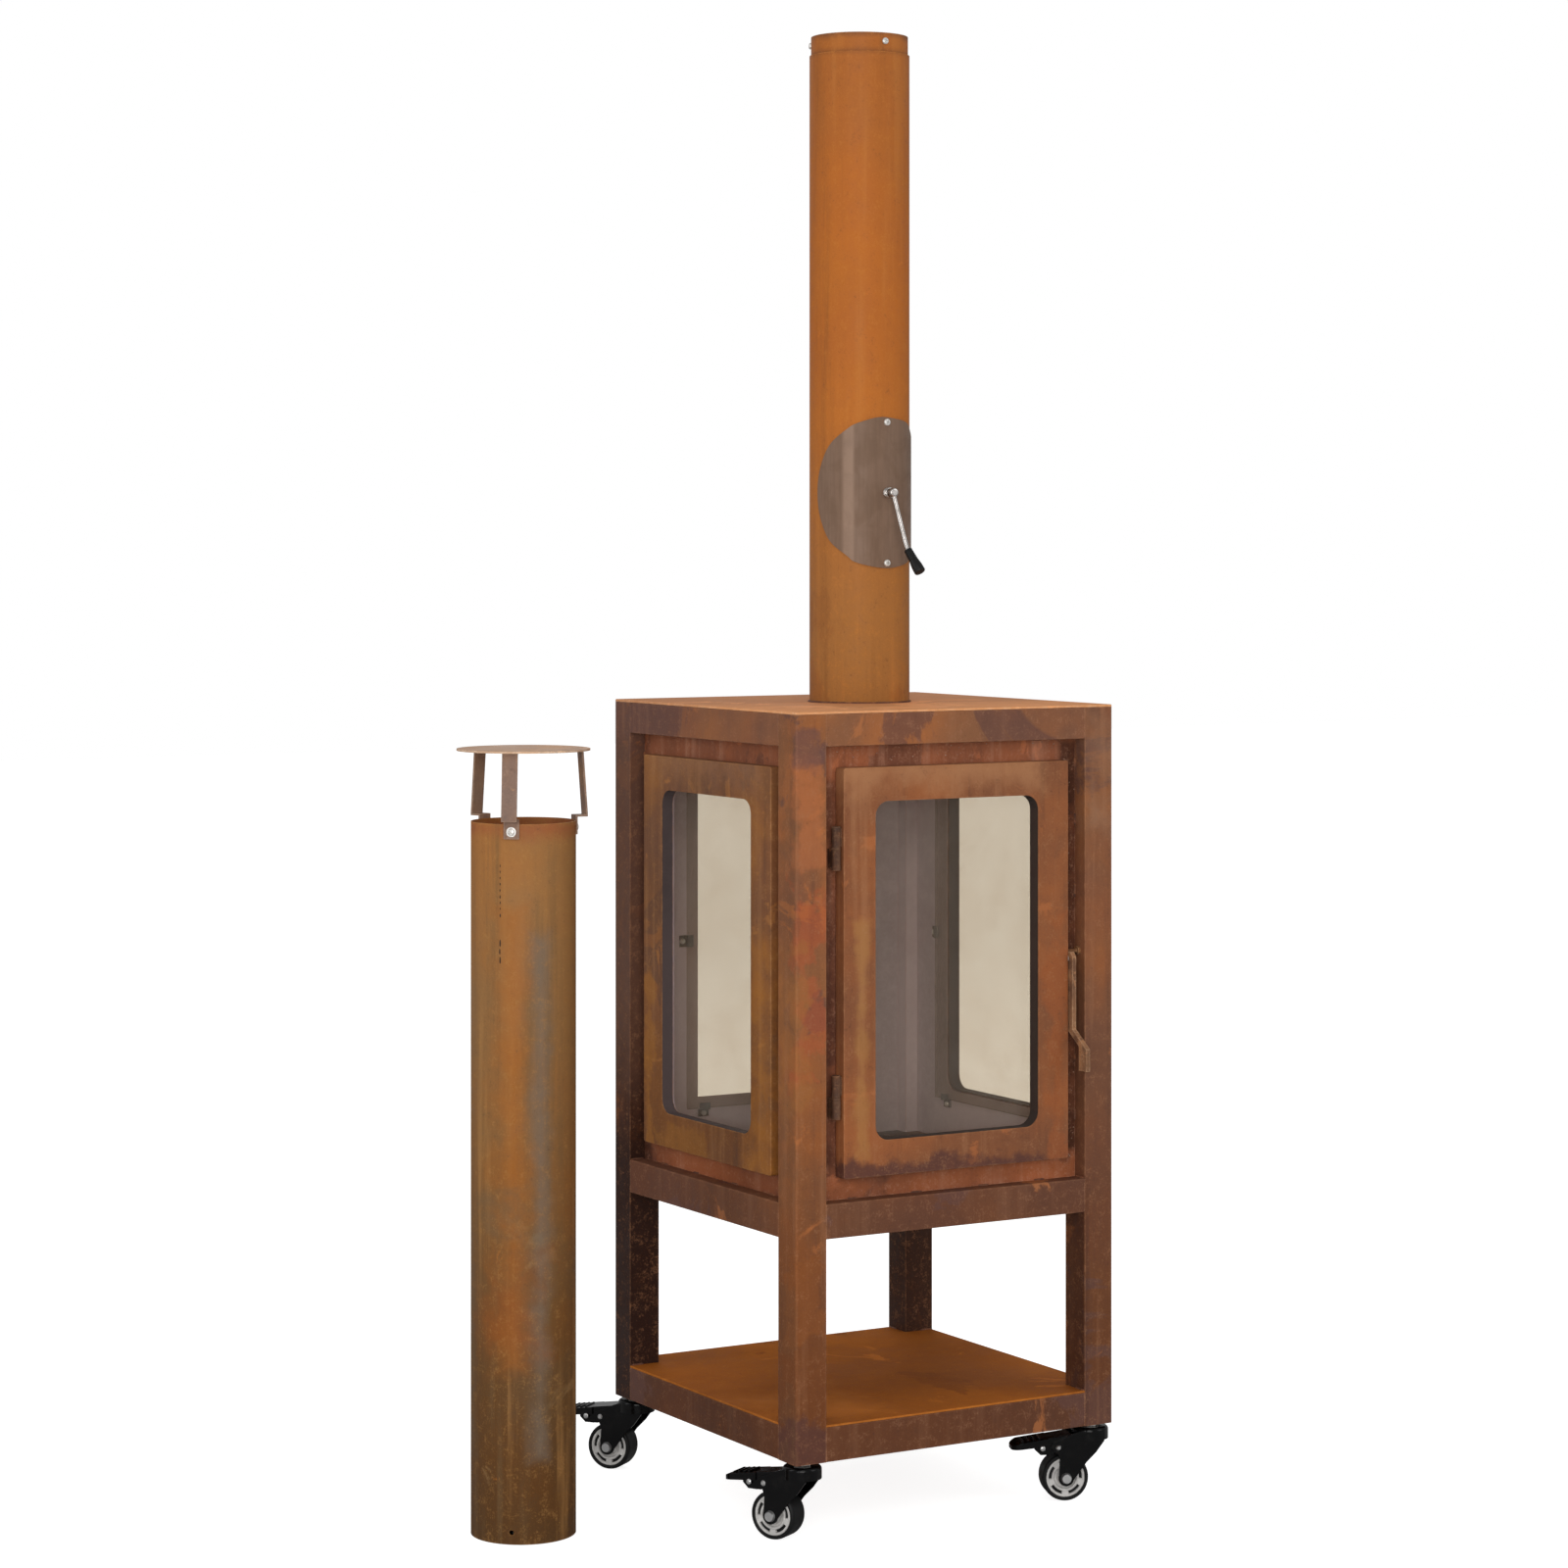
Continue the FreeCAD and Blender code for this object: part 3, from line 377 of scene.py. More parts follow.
def with_worn_edges(g, colour, pale, edge, coarse):
    """Lightens the edges, where the bevelled and the true normal part."""
    soft = g.new("Bevel", samples=4)
    soft.inputs["Radius"].default_value = edge * 1.6
    true = g.new("NewGeometry")
    turn = g.new("VectorMath", operation="DOT_PRODUCT")
    g.feed(turn.inputs[0], soft.outputs["Normal"])
    g.feed(turn.inputs[1], true.outputs["Normal"])
    patchy = g.ramp(coarse, 0.38, 0.62, 0.15, 0.6)
    worn = g.math("MULTIPLY", g.ramp(turn.outputs["Value"], 0.995, 0.90), patchy)
    return g.mix(worn, colour, shade(pale, 1.12))


def brushed_steel(name, colour, stain, rough=0.34, metal=0.85, tarnish=0.5, shine=0.5, highlight_band=None):
    """Bare steel with fine brush lines and darker tarnish.

    A band, if given, is the x, half width and display colour of a painted highlight: a pale upright stripe."""
    g = Graph(name)
    cloud = g.noise(34.0, detail=6.0, rough=0.6, warp=0.5)
    lines = g.noise(300.0, detail=3.0, stretch=(1.0, 1.0, 0.06))
    base = g.mix(g.ramp(cloud, 0.42, 0.66, 0.0, tarnish), srgb(*colour), srgb(*stain))
    base = g.mix(g.ramp(lines, 0.4, 0.6, 0.0, 0.18), base, shade(colour, 0.75))
    if highlight_band:
        # painted highlight: a pale upright stripe where a lamp's reflection would fall
        at, half, tint = highlight_band
        off = g.math("ABSOLUTE", g.math("SUBTRACT", g.axes()[0], at))
        painted_highlight = g.math("MULTIPLY", g.ramp(off, half, half * 0.4), g.ramp(cloud, 0.35, 0.6, 0.5, 0.9))
        base = g.mix(painted_highlight, base, srgb(*tint))
    g.set(base_color=base, metallic=metal, specular_ior_level=shine)
    haze = g.math("ADD", cloud, g.math("MULTIPLY", lines, 0.3))
    g.set(roughness=g.ramp(haze, 0.4, 0.9, rough, rough + 0.22))
    g.bump(lines, 0.0002, 0.25)
    return g.material


def chrome(name):
    """Polished plating with faint smears."""
    g = Graph(name)
    smear = g.noise(60.0, detail=5.0, warp=0.6)
    g.set(base_color=g.mix(g.ramp(smear, 0.4, 0.7), srgb(206, 200, 196), srgb(172, 166, 160)), metallic=1.0)
    g.set(roughness=g.ramp(smear, 0.35, 0.7, 0.2, 0.3))
    return g.material


def enamel(name, colour, rough):
    """Gloss black enamel with orange peel and dust."""
    g = Graph(name)
    peel = g.noise(500.0, detail=2.0)
    dust = g.noise(90.0, detail=6.0, rough=0.7)
    g.set(base_color=g.mix(g.ramp(dust, 0.5, 0.8, 0.0, 0.22), srgb(*colour), srgb(48, 45, 42)))
    g.set(roughness=g.ramp(dust, 0.35, 0.7, rough, rough + 0.14), specular_ior_level=0.2)
    g.bump(peel, 0.0001, 0.2, 0.0006)
    return g.material


def plastic(name, colour, rough=0.42):
    """Moulded plastic or rubber with a fine erosion grain."""
    g = Graph(name)
    cloud = g.noise(70.0, detail=5.0)
    grain = g.noise(1400.0, detail=2.0)
    pale = [min(255, c * 1.25 + 8) for c in colour]
    g.set(base_color=g.mix(g.ramp(cloud, 0.4, 0.7, 0.0, 0.36), srgb(*colour), srgb(*pale)))
    g.set(roughness=g.ramp(cloud, 0.3, 0.7, rough, rough + 0.16), specular_ior_level=0.25)
    g.bump(grain, 0.00012, 0.4, 0.0004)
    return g.material


def fire_glass(name):
    """Ceramic glass: a faint amber tint, a mirror-like skin and clouds of soot."""
    g = Graph(name)
    soot = g.noise(14.0, detail=6.0, rough=0.6, warp=0.6)
    clear = g.new("BsdfTransparent")
    tint = g.mix(g.ramp(soot, 0.4, 0.75), srgb(255, 251, 244), srgb(253, 248, 240))
    g.feed(clear.inputs["Color"], tint)
    facing = g.new("LayerWeight")
    facing.inputs["Blend"].default_value = 0.5
    grazing = g.math("POWER", facing.outputs["Facing"], 5.0)
    g.set(base_color=g.mix(g.ramp(soot, 0.4, 0.7), srgb(120, 112, 104), srgb(100, 92, 84)), metallic=0.0)
    g.set(roughness=g.ramp(soot, 0.3, 0.7, 0.02, 0.06), specular_ior_level=0.9)
    blend = g.new("MixShader")
    g.feed(blend.inputs[0], g.math("ADD", g.math("MULTIPLY", grazing, 0.8), 0.17))
    g.feed(blend.inputs[1], clear.outputs[0])
    g.feed(blend.inputs[2], g.shader.outputs[0])
    output = g.tree.nodes["Material Output"]
    g.feed(output.inputs["Surface"], blend.outputs[0])
    return g.material


def woven(name, colour):
    """Grey woven heat-proof cord."""
    g = Graph(name)
    weave = g.new("TexWave", bands_direction="DIAGONAL")
    weave.inputs["Scale"].default_value = 260.0
    weave.inputs["Distortion"].default_value = 1.2
    g.feed(weave.inputs["Vector"], g.place)
    thread = weave.outputs["Fac"]
    g.set(base_color=g.mix(thread, srgb(*colour), shade(colour, 0.6)), roughness=0.9, sheen_weight=0.2)
    g.bump(thread, 0.0006, 0.8)
    return g.material


# ---------------------------------------------------------------- the materials
# Places of patches are (x, y, z) in metres; a row is box centre, half size, display colour, strength,
# raggedness and, if not the usual one, softness.
CHAMBER_ASH = ((220, 206, 217), (0.1803, 0.1803, 0.2368))
WALL_SKIN = 0.181            # depth at which the patches on the walls lie


def frame_rust():
    """Posts: patches on the front left one, painted shade low down at the rear, on the rear left post and on
    some inner and left faces, ashen inside the firebox.
    """
    zones = [
        # front left post, front face: orange below a dark top, red half way, ochre low down
        ((-0.186, -HALF, 0.765), (0.017, 0.006, 0.055), (176, 104, 62), 0.6, 0.02),
        ((-0.186, -HALF, 0.83), (0.02, 0.006, 0.02), (104, 72, 66), 0.7, 0.014),
        ((-0.186, -HALF, 0.58), (0.014, 0.006, 0.10), (172, 84, 48), 0.5, 0.03),
        ((-HALF, -0.186, 0.52), (0.006, 0.018, 0.10), (156, 100, 52), 0.5, 0.03),    # its left face
        ((-0.182, -HALF, 0.25), (0.02, 0.02, 0.04), (140, 80, 36), 0.5, 0.03),
        # its foot
        ((-0.184, -0.184, 0.10), (0.03, 0.03, 0.022), (84, 54, 50), 0.7, 0.02),
        # painted shade: rear right post low down, and the inner face of the front right post
        ((0.182, 0.182, 0.18), (0.09, 0.09, 0.14), (48, 24, 12), 0.92, 0.02, 0.05),
        ((POST_IN, -0.182, 0.22), (0.0016, 0.016, 0.13), (48, 22, 12), 0.9, 0.001),
        # painted shade on the rear left post above, a pale patch on the front right post, painted shade on
        # the rear left post below
        ((-0.182, 0.182, 0.62), (0.06, 0.06, 0.20), (94, 64, 50), 0.85, 0.03, 0.02),
        ((0.186, -HALF, 0.79), (0.014, 0.006, 0.06), (150, 114, 90), 0.5, 0.03, 0.03),
        ((-0.182, 0.182, 0.18), (0.12, 0.12, 0.26), (40, 17, 8), 0.95, 0.03, 0.09),
        # painted shade on the left face of the front left post, all the way up
        ((-0.2005, -0.182, 0.45), (0.001, 0.018, 0.45), (104, 72, 48), 0.3, 0.01, 0.002),
    ]
    # the low colour darkens the posts towards the ground: partly the rust's own colour, partly painted shade
    return rust("frame_corten", (136, 88, 54), (162, 96, 50), (96, 66, 58), (168, 118, 84),
                seed=1.3, scale=6.0, plum=0.6, fire=0.5, low=(98, 54, 26), low_at=(0.1, 0.62),
                zones=zones, inside=CHAMBER_ASH)


def rail_rust():
    """Rails: like the posts, with fainter streaks."""
    # the low colour darkens the rails towards the ground: partly the rust's own colour, partly painted shade
    return rust("rail_corten", (134, 88, 58), (160, 98, 56), (98, 66, 58), (170, 122, 92),
                seed=1.3, scale=6.0, plum=0.6, fire=0.4, streaks=0.15, low=(84, 48, 30), low_at=(0.1, 0.72))


def plate_rust():
    """Top plate: dull, and pale partly from its own colour and partly from painted light from above."""
    return rust("plate_corten", (218, 150, 98), (226, 156, 104), (188, 130, 92), (236, 188, 152),
                seed=4.0, scale=5.0, plum=0.3, fire=0.6, streaks=0.1, shine=0.1, rough=(0.75, 0.95))


def shelf_rust():
    """Shelf: bright orange, lighter towards the front left."""
    zones = [((-0.13, -0.11, None), (0.05, 0.06, 0), (204, 122, 54), 0.85, 0.02, 0.05)]
    return rust("shelf_corten", (174, 100, 36), (188, 108, 40), (142, 80, 36), (196, 126, 60),
                seed=12.0, scale=5.0, plum=0.3, fire=0.4, streaks=0.1, shine=0.04, rough=(0.7, 0.95),
                zones=zones)


def wall_rust():
    """Walls: red rust, painted shade beside the door and the window frames, ashen inside the firebox."""
    zones = [
        # painted shade in the gaps right and left of the door
        ((0.155, -WALL_SKIN, 0.603), (0.012, 0.004, 0.222), (54, 30, 20), 0.9, 0.004),
        ((-0.152, -WALL_SKIN, WINDOW_MID), (0.008, 0.004, 0.20), (70, 40, 30), 0.6, 0.012),
        # orange just above the middle rails
        ((None, None, 0.362), (0, 0, 0.010), (150, 84, 48), 0.5, 0.02),
        # painted shade in the gaps beside the left window frame
        ((-WALL_SKIN, 0.158, WINDOW_MID), (0.004, 0.009, 0.24), (60, 34, 24), 0.7, 0.01),
        ((-WALL_SKIN, -0.158, WINDOW_MID), (0.004, 0.007, 0.24), (56, 30, 20), 0.7, 0.008),
    ]
    return rust("wall_corten", (142, 84, 56), (168, 98, 62), (104, 64, 48), (192, 140, 112),
                seed=6.5, plum=0.4, zones=zones, inside=CHAMBER_ASH)


def firebox_rust():
    """Firebox floor: dull and ashy."""
    return rust("firebox_floor_corten", (112, 86, 76), (126, 92, 72), (78, 60, 56), (168, 146, 130), seed=8.0)


def panel_rust():
    """Side window frames: ochre, darker low down, with painted shade on the reveal round the glass."""
    zones = [
        # front upright, rear upright, bottom edge, top edge
        ((None, -0.118, 0.50), (0, 0.018, 0.12), (176, 112, 40), 0.6, 0.03, 0.03),
        ((None, 0.128, 0.46), (0, 0.008, 0.09), (164, 106, 40), 0.5, 0.02),
        ((None, 0.06, 0.385), (0, 0.06, 0.010), (150, 98, 40), 0.5, 0.02),
        ((None, 0.0, 0.800), (0, 0.12, 0.014), (146, 102, 72), 0.6, 0.02, 0.02),
    ]
    # the inside colour is painted shade on the reveal round the glass
    return rust("window_frame_corten", (131, 83, 51), (152, 99, 51), (100, 68, 50), (176, 128, 82),
                seed=2.2, scale=8.0, plum=0.45, fire=0.4, streaks=0.4, low=(112, 68, 34), low_at=(0.36, 0.66),
                zones=zones, inside=((84, 72, 72), (0.1950, 0.0984, 0.1785)))


def door_rust():
    """Door: a scorched lower edge, a paler upper one, and painted shade on the reveal round the glass."""
    zones = [
        # bottom edge, top edge, hinge side, latch side
        ((0.03, None, 0.369), (0.2, 0, 0.016), (88, 54, 46), 0.9, 0.018),
        ((-0.03, None, 0.800), (0.13, 0, 0.016), (170, 118, 80), 0.75, 0.02, 0.022),
        ((-0.120, None, 0.52), (0.006, 0, 0.12), (170, 120, 66), 0.5, 0.012),
        ((0.127, None, 0.50), (0.010, 0, 0.14), (152, 84, 44), 0.6, 0.02),
    ]
    # the inside colour is painted shade on the reveal round the glass
    return rust("door_corten", (134, 82, 50), (156, 92, 52), (110, 70, 50), (174, 124, 86),
                seed=3.1, scale=6.5, plum=0.3, fire=0.45, streaks=0.4,
                zones=zones, inside=((62, 52, 48), (0.1033, 0.1988, 0.1787)))


def fitting_rust(name, mid, warm, cool, pale):
    """Small rusted fittings, mottled finely."""
    return rust(name, mid, warm, cool, pale, seed=7.7, scale=40.0)


def flue_rust():
    """Lower flue: bright orange, duller near its foot, dark where its end and the sleeve meet."""
    zones = [
        # rim of the sleeve, end of the flue
        ((None, None, 1.5985), (0, 0, 0.002), (98, 66, 46), 0.8, 0.004),
        ((None, None, 1.5785), (0, 0, 0.0006), (88, 58, 40), 0.6, 0.0006),
    ]
    return rust("flue_corten", (174, 97, 34), (188, 107, 38), (148, 93, 44), (194, 124, 58),
                seed=5.2, scale=4.0, plum=0.15, fire=0.3, streaks=0.4, low=(154, 106, 54), low_at=(0.86, 1.3),
                zones=zones)


def loose_flue_rust():
    """Loose flue: olive brown and darker below, partly from painted shade, with a grey stripe and an orange
    one down its front.
    """
    zones = [
        # grey stripe, orange stripe, ring at the straps, three patches below
        ((-0.4225, -0.055, 0.36), (0.006, 0.02, 0.27), (116, 102, 88), 0.7, 0.008, 0.012),
        ((-0.449, -0.044, 0.42), (0.010, 0.02, 0.24), (164, 94, 26), 0.55, 0.01, 0.014),
        ((None, None, 0.742), (0, 0, 0.006), (150, 78, 48), 0.6, 0.01, 0.012),
        ((-0.456, -0.036, 0.345), (0.016, 0.02, 0.018), (108, 86, 60), 0.6, 0.03, 0.02),
        ((-0.452, -0.040, 0.245), (0.018, 0.02, 0.034), (140, 76, 26), 0.6, 0.03, 0.03),
        ((-0.400, -0.052, 0.150), (0.02, 0.02, 0.03), (96, 72, 44), 0.6, 0.03, 0.03),
    ]
    # the low colour darkens the loose flue towards the ground: partly the rust's own colour, partly painted
    # shade
    return rust("loose_flue_corten", (162, 106, 50), (180, 108, 40), (136, 104, 66), (174, 126, 72),
                seed=9.4, scale=6.0, plum=0.25, fire=0.15, streaks=0.6, low=(58, 38, 14), low_at=(0.0, 0.70),
                zones=zones)


def cap_rust():
    """Rain cap: pale."""
    return rust("cap_corten", (210, 170, 138), (220, 176, 140), (176, 142, 118), (232, 206, 182),
                seed=14.0, scale=14.0, streaks=0.1, shine=0.15)


def strap_rust():
    """Straps of the rain cap: pale brown."""
    return rust("strap_corten", (149, 120, 99), (162, 124, 93), (121, 99, 91), (184, 157, 136),
                seed=15.0, scale=22.0, streaks=0.3)


def bead_rust(name, mid, warm, cool, pale, seed, scale):
    """Weld beads, drops and scale: fine mottling without streaks or worn edges."""
    return rust(name, mid, warm, cool, pale, seed=seed, scale=scale, streaks=0.0, edge=0.0)


def make_materials():
    """One material per slot of the record, and a few for single nodes and added pieces."""
    made = {
        "frame_rust": frame_rust(),
        "rail_rust": rail_rust(),
        "plate_rust": plate_rust(),
        "shelf_rust": shelf_rust(),
        "wall_rust": wall_rust(),
        "firebox_rust": firebox_rust(),
        "panel_rust": panel_rust(),
        "door_rust": door_rust(),
        "flue_rust": flue_rust(),
        "loose_flue_rust": loose_flue_rust(),
        "cap_rust": cap_rust(),
        "strap_rust": strap_rust(),
        "fire_glass": fire_glass("ceramic_glass"),
        "seal_cord": woven("seal_cord", (92, 88, 80)),
        "chrome_rod": chrome("polished_chrome"),
        "black_grip": plastic("black_grip", (20, 20, 20), rough=0.4),
        "caster_black": enamel("caster_enamel", (4, 4, 5), rough=0.1),
        "wheel_core": plastic("wheel_core", (186, 184, 182), rough=0.3),
        "tread_rubber": plastic("tread_rubber", (9, 9, 10), rough=0.42),
    }
    made["fitting_rust"] = fitting_rust("fitting_corten", (120, 80, 52), (150, 98, 58), (64, 42, 34),
                                        (176, 138, 100))
    made["lever_rust"] = fitting_rust("lever_corten", (146, 106, 76), (164, 116, 80), (98, 68, 52),
                                      (198, 160, 124))
    made["hinge_rust"] = fitting_rust("hinge_corten", (82, 52, 38), (112, 70, 44), (50, 34, 28),
                                      (150, 112, 84))
    made["weld"] = bead_rust("weld_corten", (112, 74, 56), (140, 88, 58), (74, 50, 44), (150, 112, 90),
                             seed=3.0, scale=60.0)
    made["spatter"] = bead_rust("spatter_steel", (170, 140, 120), (150, 104, 78), (110, 80, 66),
                                (214, 200, 186), seed=6.0, scale=90.0)
    made["scale"] = bead_rust("mill_scale", (66, 48, 36), (88, 60, 40), (44, 34, 28), (96, 74, 54),
                              seed=2.0, scale=90.0)
    # the cover carries a painted highlight: a pale upright stripe on its left side
    made["cover_steel"] = brushed_steel("cover_steel", (126, 101, 84), (112, 88, 70), rough=0.34, metal=0.04,
                                        shine=0.15, highlight_band=(-0.0395, 0.0062, (150, 124, 106)))
    made["screw_steel"] = brushed_steel("zinc_screws", (232, 230, 226), (186, 180, 170), rough=0.3,
                                        metal=0.5, tarnish=0.4)
    made["clip_steel"] = brushed_steel("clip_steel", (150, 145, 138), (104, 92, 84), rough=0.4, metal=0.8)
    made["caster_steel"] = brushed_steel("caster_zinc", (205, 205, 205), (150, 150, 150), rough=0.22,
                                         metal=0.95, tarnish=0.3)
    return made


# ---------------------------------------------------------------- shapes
def piece(name, form, body, material, stands_for=(), sharp=35.0):
    """Turns a bmesh into a visual piece that rides on a body. Edges over sharp degrees stay hard."""
    bmesh.ops.recalc_face_normals(form, faces=form.faces)
    mesh = bpy.data.meshes.new(name)
    form.to_mesh(mesh)
    form.free()
    obj = bpy.data.objects.new(name, mesh)
    SCENE.collection.objects.link(obj)
    mesh.shade_smooth()
    mesh.set_sharp_from_angle(angle=math.radians(sharp))
    mesh.materials.append(material)
    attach(obj, body)
    if stands_for:
        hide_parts(*stands_for)


def sides(direction):
    """Two unit vectors square to a direction."""
    direction = Vector(direction).normalized()
    helper = Vector((0, 0, 1)) if abs(direction.z) < 0.9 else Vector((1, 0, 0))
    first = direction.cross(helper).normalized()
    return first, direction.cross(first).normalized()


def circle(form, centre, first, second, radius, around):
    """Adds a ring of points in the plane of two unit vectors."""
    ring = []
    for j in range(around):
        angle = 2 * math.pi * j / around
        ring.append(form.verts.new(centre + (first * math.cos(angle) + second * math.sin(angle)) * radius))
    return ring


def skin(form, here, there):
    """Closes the gap between two rings, either of which may be a single point."""
    around = max(len(here), len(there))
    for j in range(around):
        k = (j + 1) % around
        if len(here) == 1:
            form.faces.new((here[0], there[k], there[j]))
        elif len(there) == 1:
            form.faces.new((here[j], here[k], there[0]))
        else:
            form.faces.new((here[j], here[k], there[k], there[j]))


def sweep(form, points, radii, around=12, closed=False):
    """Adds a tube along points, with one radius for each."""
    rings = []
    count = len(points)
    first, second = sides(points[1] - points[0])
    for i, point in enumerate(points):
        ahead = points[(i + 1) % count] if closed or i + 1 < count else point
        behind = points[i - 1] if closed or i else point
        run = (ahead - behind).normalized()
        first = (first - run * first.dot(run)).normalized()
        second = run.cross(first)
        rings.append(circle(form, point, first, second, radii[i], around))
    for i in range(count if closed else count - 1):
        skin(form, rings[i], rings[(i + 1) % count])
    if not closed:
        form.faces.new(rings[0])
        form.faces.new(rings[-1])


def lathe(form, centre, axis, profile, around=48, hollow=False):
    """Adds a closed solid of revolution from (radius, height along the axis) points, or a ring if hollow."""
    axis = Vector(axis).normalized()
    first, second = sides(axis)
    rings = []
    for radius, height in profile:
        base = centre + axis * height
        if radius < 1e-6:
            rings.append([form.verts.new(base)])
        else:
            rings.append(circle(form, base, first, second, radius, around))
    following = rings[1:] + rings[:1] if hollow else rings[1:]
    for here, there in zip(rings, following):
        skin(form, here, there)
    if hollow:
        return
    for ring in (rings[0], rings[-1]):
        if len(ring) > 1:
            form.faces.new(ring)


def cross_recess(x, y, twist):
    """How deep a cross recess is at a point of a screw head of radius 1: 0 outside it, 1 at its floor."""
    u = x * math.cos(twist) + y * math.sin(twist)
    v = -x * math.sin(twist) + y * math.cos(twist)
    depth = 0.0
    for along, across in ((u, v), (v, u)):
        if abs(along) < 0.56:
            depth = max(depth, min(1.0, max(0.0, (0.17 - abs(across)) / 0.05)))
    return depth


def pan_screw(form, seat, outward, radius, height, twist=0.3, washer=0.0):
    """Adds a domed screw head with a cross recess, on a washer if its radius is given."""
    outward = Vector(outward).normalized()
    first, second = sides(outward)
    around, rings = 48, 14
    lift = 0.0
    if washer:
        lift = radius * 0.16
        rim = [(0, 0), (washer, 0), (washer, lift * 0.7), (washer * 0.95, lift), (0, lift)]
        lathe(form, seat, outward, rim)
    rows = [circle(form, seat + outward * lift, first, second, radius, around)]
    for i in range(rings + 1):
        share = 1.0 - i / (rings + 1)
        dome = height * (0.45 + 0.55 * math.sqrt(max(0.0, 1.0 - share ** 2.6)))
        row = []
        for j in range(around):
            angle = 2 * math.pi * j / around
            x, y = share * math.cos(angle), share * math.sin(angle)
            top = lift + dome - height * 0.62 * cross_recess(x, y, twist)
            row.append(form.verts.new(seat + outward * top + (first * x + second * y) * radius))
        rows.append(row)
    rows.append([form.verts.new(seat + outward * (lift + height * 0.3))])
    for here, there in zip(rows, rows[1:]):
        skin(form, here, there)
    form.faces.new(rows[0])


def weld(form, points, radius, rng, ripple=0.0018, closed=False):
    """Adds a weld bead: a lumpy tube with a scalloped skin that tapers at open ends."""
    radii = []
    walked = 0.0
    drift = 0.0
    for i, point in enumerate(points):
        if i:
            walked += (point - points[i - 1]).length
        drift = 0.85 * drift + rng.uniform(-0.06, 0.06)
        scallop = abs(math.sin(math.pi * walked / ripple))
        size = radius * (0.86 + 0.2 * scallop + drift)
        if not closed:
            end = min(i, len(points) - 1 - i)
            size *= min(1.0, 0.35 + 0.22 * end)
        radii.append(size)
    sweep(form, points, radii, around=10, closed=closed)


def line(start, end, step=0.0006):
    """Points from start to end, evenly spaced."""
    start, end = Vector(start), Vector(end)
    count = max(3, int((end - start).length / step))
    return [start.lerp(end, i / count) for i in range(count + 1)]


def level_vector(degrees):
    """A level unit vector at an angle from +X."""
    turn = math.radians(degrees)
    return Vector((math.cos(turn), math.sin(turn), 0))


def drop(form, spot, outward, size):
    """Adds a low drop of metal on a surface."""
    profile = [(size, -0.0002), (size * 0.96, size * 0.25), (size * 0.6, size * 0.55), (0, size * 0.66)]
    lathe(form, Vector(spot), outward, profile, around=10)


# ---------------------------------------------------------------- added detail: welds and screws
BEAD = 0.0013                # radius of a weld bead
CLEAR = 0.0002               # how far the middle of a bead, or the foot of a drop, is off a face


def corner_beads(form, rng):
    """Short beads where the middle and bottom rails meet the posts."""
    near = POST_IN - 0.0003
    outer, inner = HALF - 0.0015, WALL_FRONT + 0.0015
    for level in (MID_RAIL_TOP + CLEAR, SHELF_TOP + CLEAR):
        for sx in (-1, 1):
            for sy in (-1, 1):
                across = line((sx * near, sy * outer, level), (sx * near, sy * inner, level))
                weld(form, across, BEAD, rng)
                along = line((sx * outer, sy * near, level), (sx * inner, sy * near, level))
                weld(form, along, BEAD, rng)


def upright_stitches(form, rng):
    """Stitches between the walls and the posts, on all four sides."""
    near, face = POST_IN - 0.0005, WALL_FRONT + 0.0003
    for sign in (-1, 1):
        side = sign * near
        for z in (0.405, 0.47, 0.56, 0.65, 0.735, 0.80):
            length = rng.uniform(0.010, 0.018)
            at = z + rng.uniform(-0.01, 0.01)
            for x, y in ((side, -face), (-face, side), (face, side), (side, face)):
                weld(form, line((x, y, at), (x, y, at + length)), BEAD, rng)


def level_stitches(form, rng):
    """Stitches between the walls and the rails, on the front and the left."""
    face, length = WALL_FRONT + 0.0003, 0.014
    for level in (TOP_RAIL_BOTTOM - CLEAR, MID_RAIL_TOP + CLEAR):
        for middle in (-0.13, -0.055, 0.03, 0.11):
            at = middle + rng.uniform(-0.01, 0.01)
            weld(form, line((at, -face, level), (at + length, -face, level)), BEAD, rng)
            weld(form, line((-face, at, level), (-face, at + length, level)), BEAD, rng)


def spatter(form, rng):
    """Drops of weld spatter on the front wall, right of the door and above it."""
    face = WALL_FRONT + CLEAR
    for _ in range(46):
        spot = (DOOR_EDGE + rng.uniform(0.0, 0.0146), -face, rng.uniform(0.372, 0.812))
        drop(form, spot, (0, -1, 0), rng.uniform(0.0004, 0.0010))
    for _ in range(26):
        spot = (rng.uniform(-0.15, 0.15), -face, 0.818 + rng.uniform(-0.008, 0.008))
        drop(form, spot, (0, -1, 0), rng.uniform(0.0004, 0.0008))


def frame_welds():
    """Beads in the corners of the frame, stitches round the walls and drops of spatter."""
    rng = random.Random(11)
    form = bmesh.new()
    corner_beads(form, rng)
    upright_stitches(form, rng)
    level_stitches(form, rng)
    piece("frame_weld_beads", form, "body", MATERIALS["weld"], sharp=60)
    form = bmesh.new()
    spatter(form, rng)
    piece("weld_spatter", form, "body", MATERIALS["spatter"], sharp=80)


def foot_weld(rng):
    """A bead all the way round the foot of the lower flue."""
    form = bmesh.new()
    radius, level, count = FLUE_R + 0.0004, FRAME_TOP + 0.0005, 580
    ring = []
    for i in range(count):
        turn = 2 * math.pi * i / count
        ring.append(Vector((radius * math.cos(turn), radius * math.sin(turn), level)))
    weld(form, ring, BEAD, rng, closed=True)
    piece("flue_foot_weld", form, "body", MATERIALS["weld"], sharp=60)


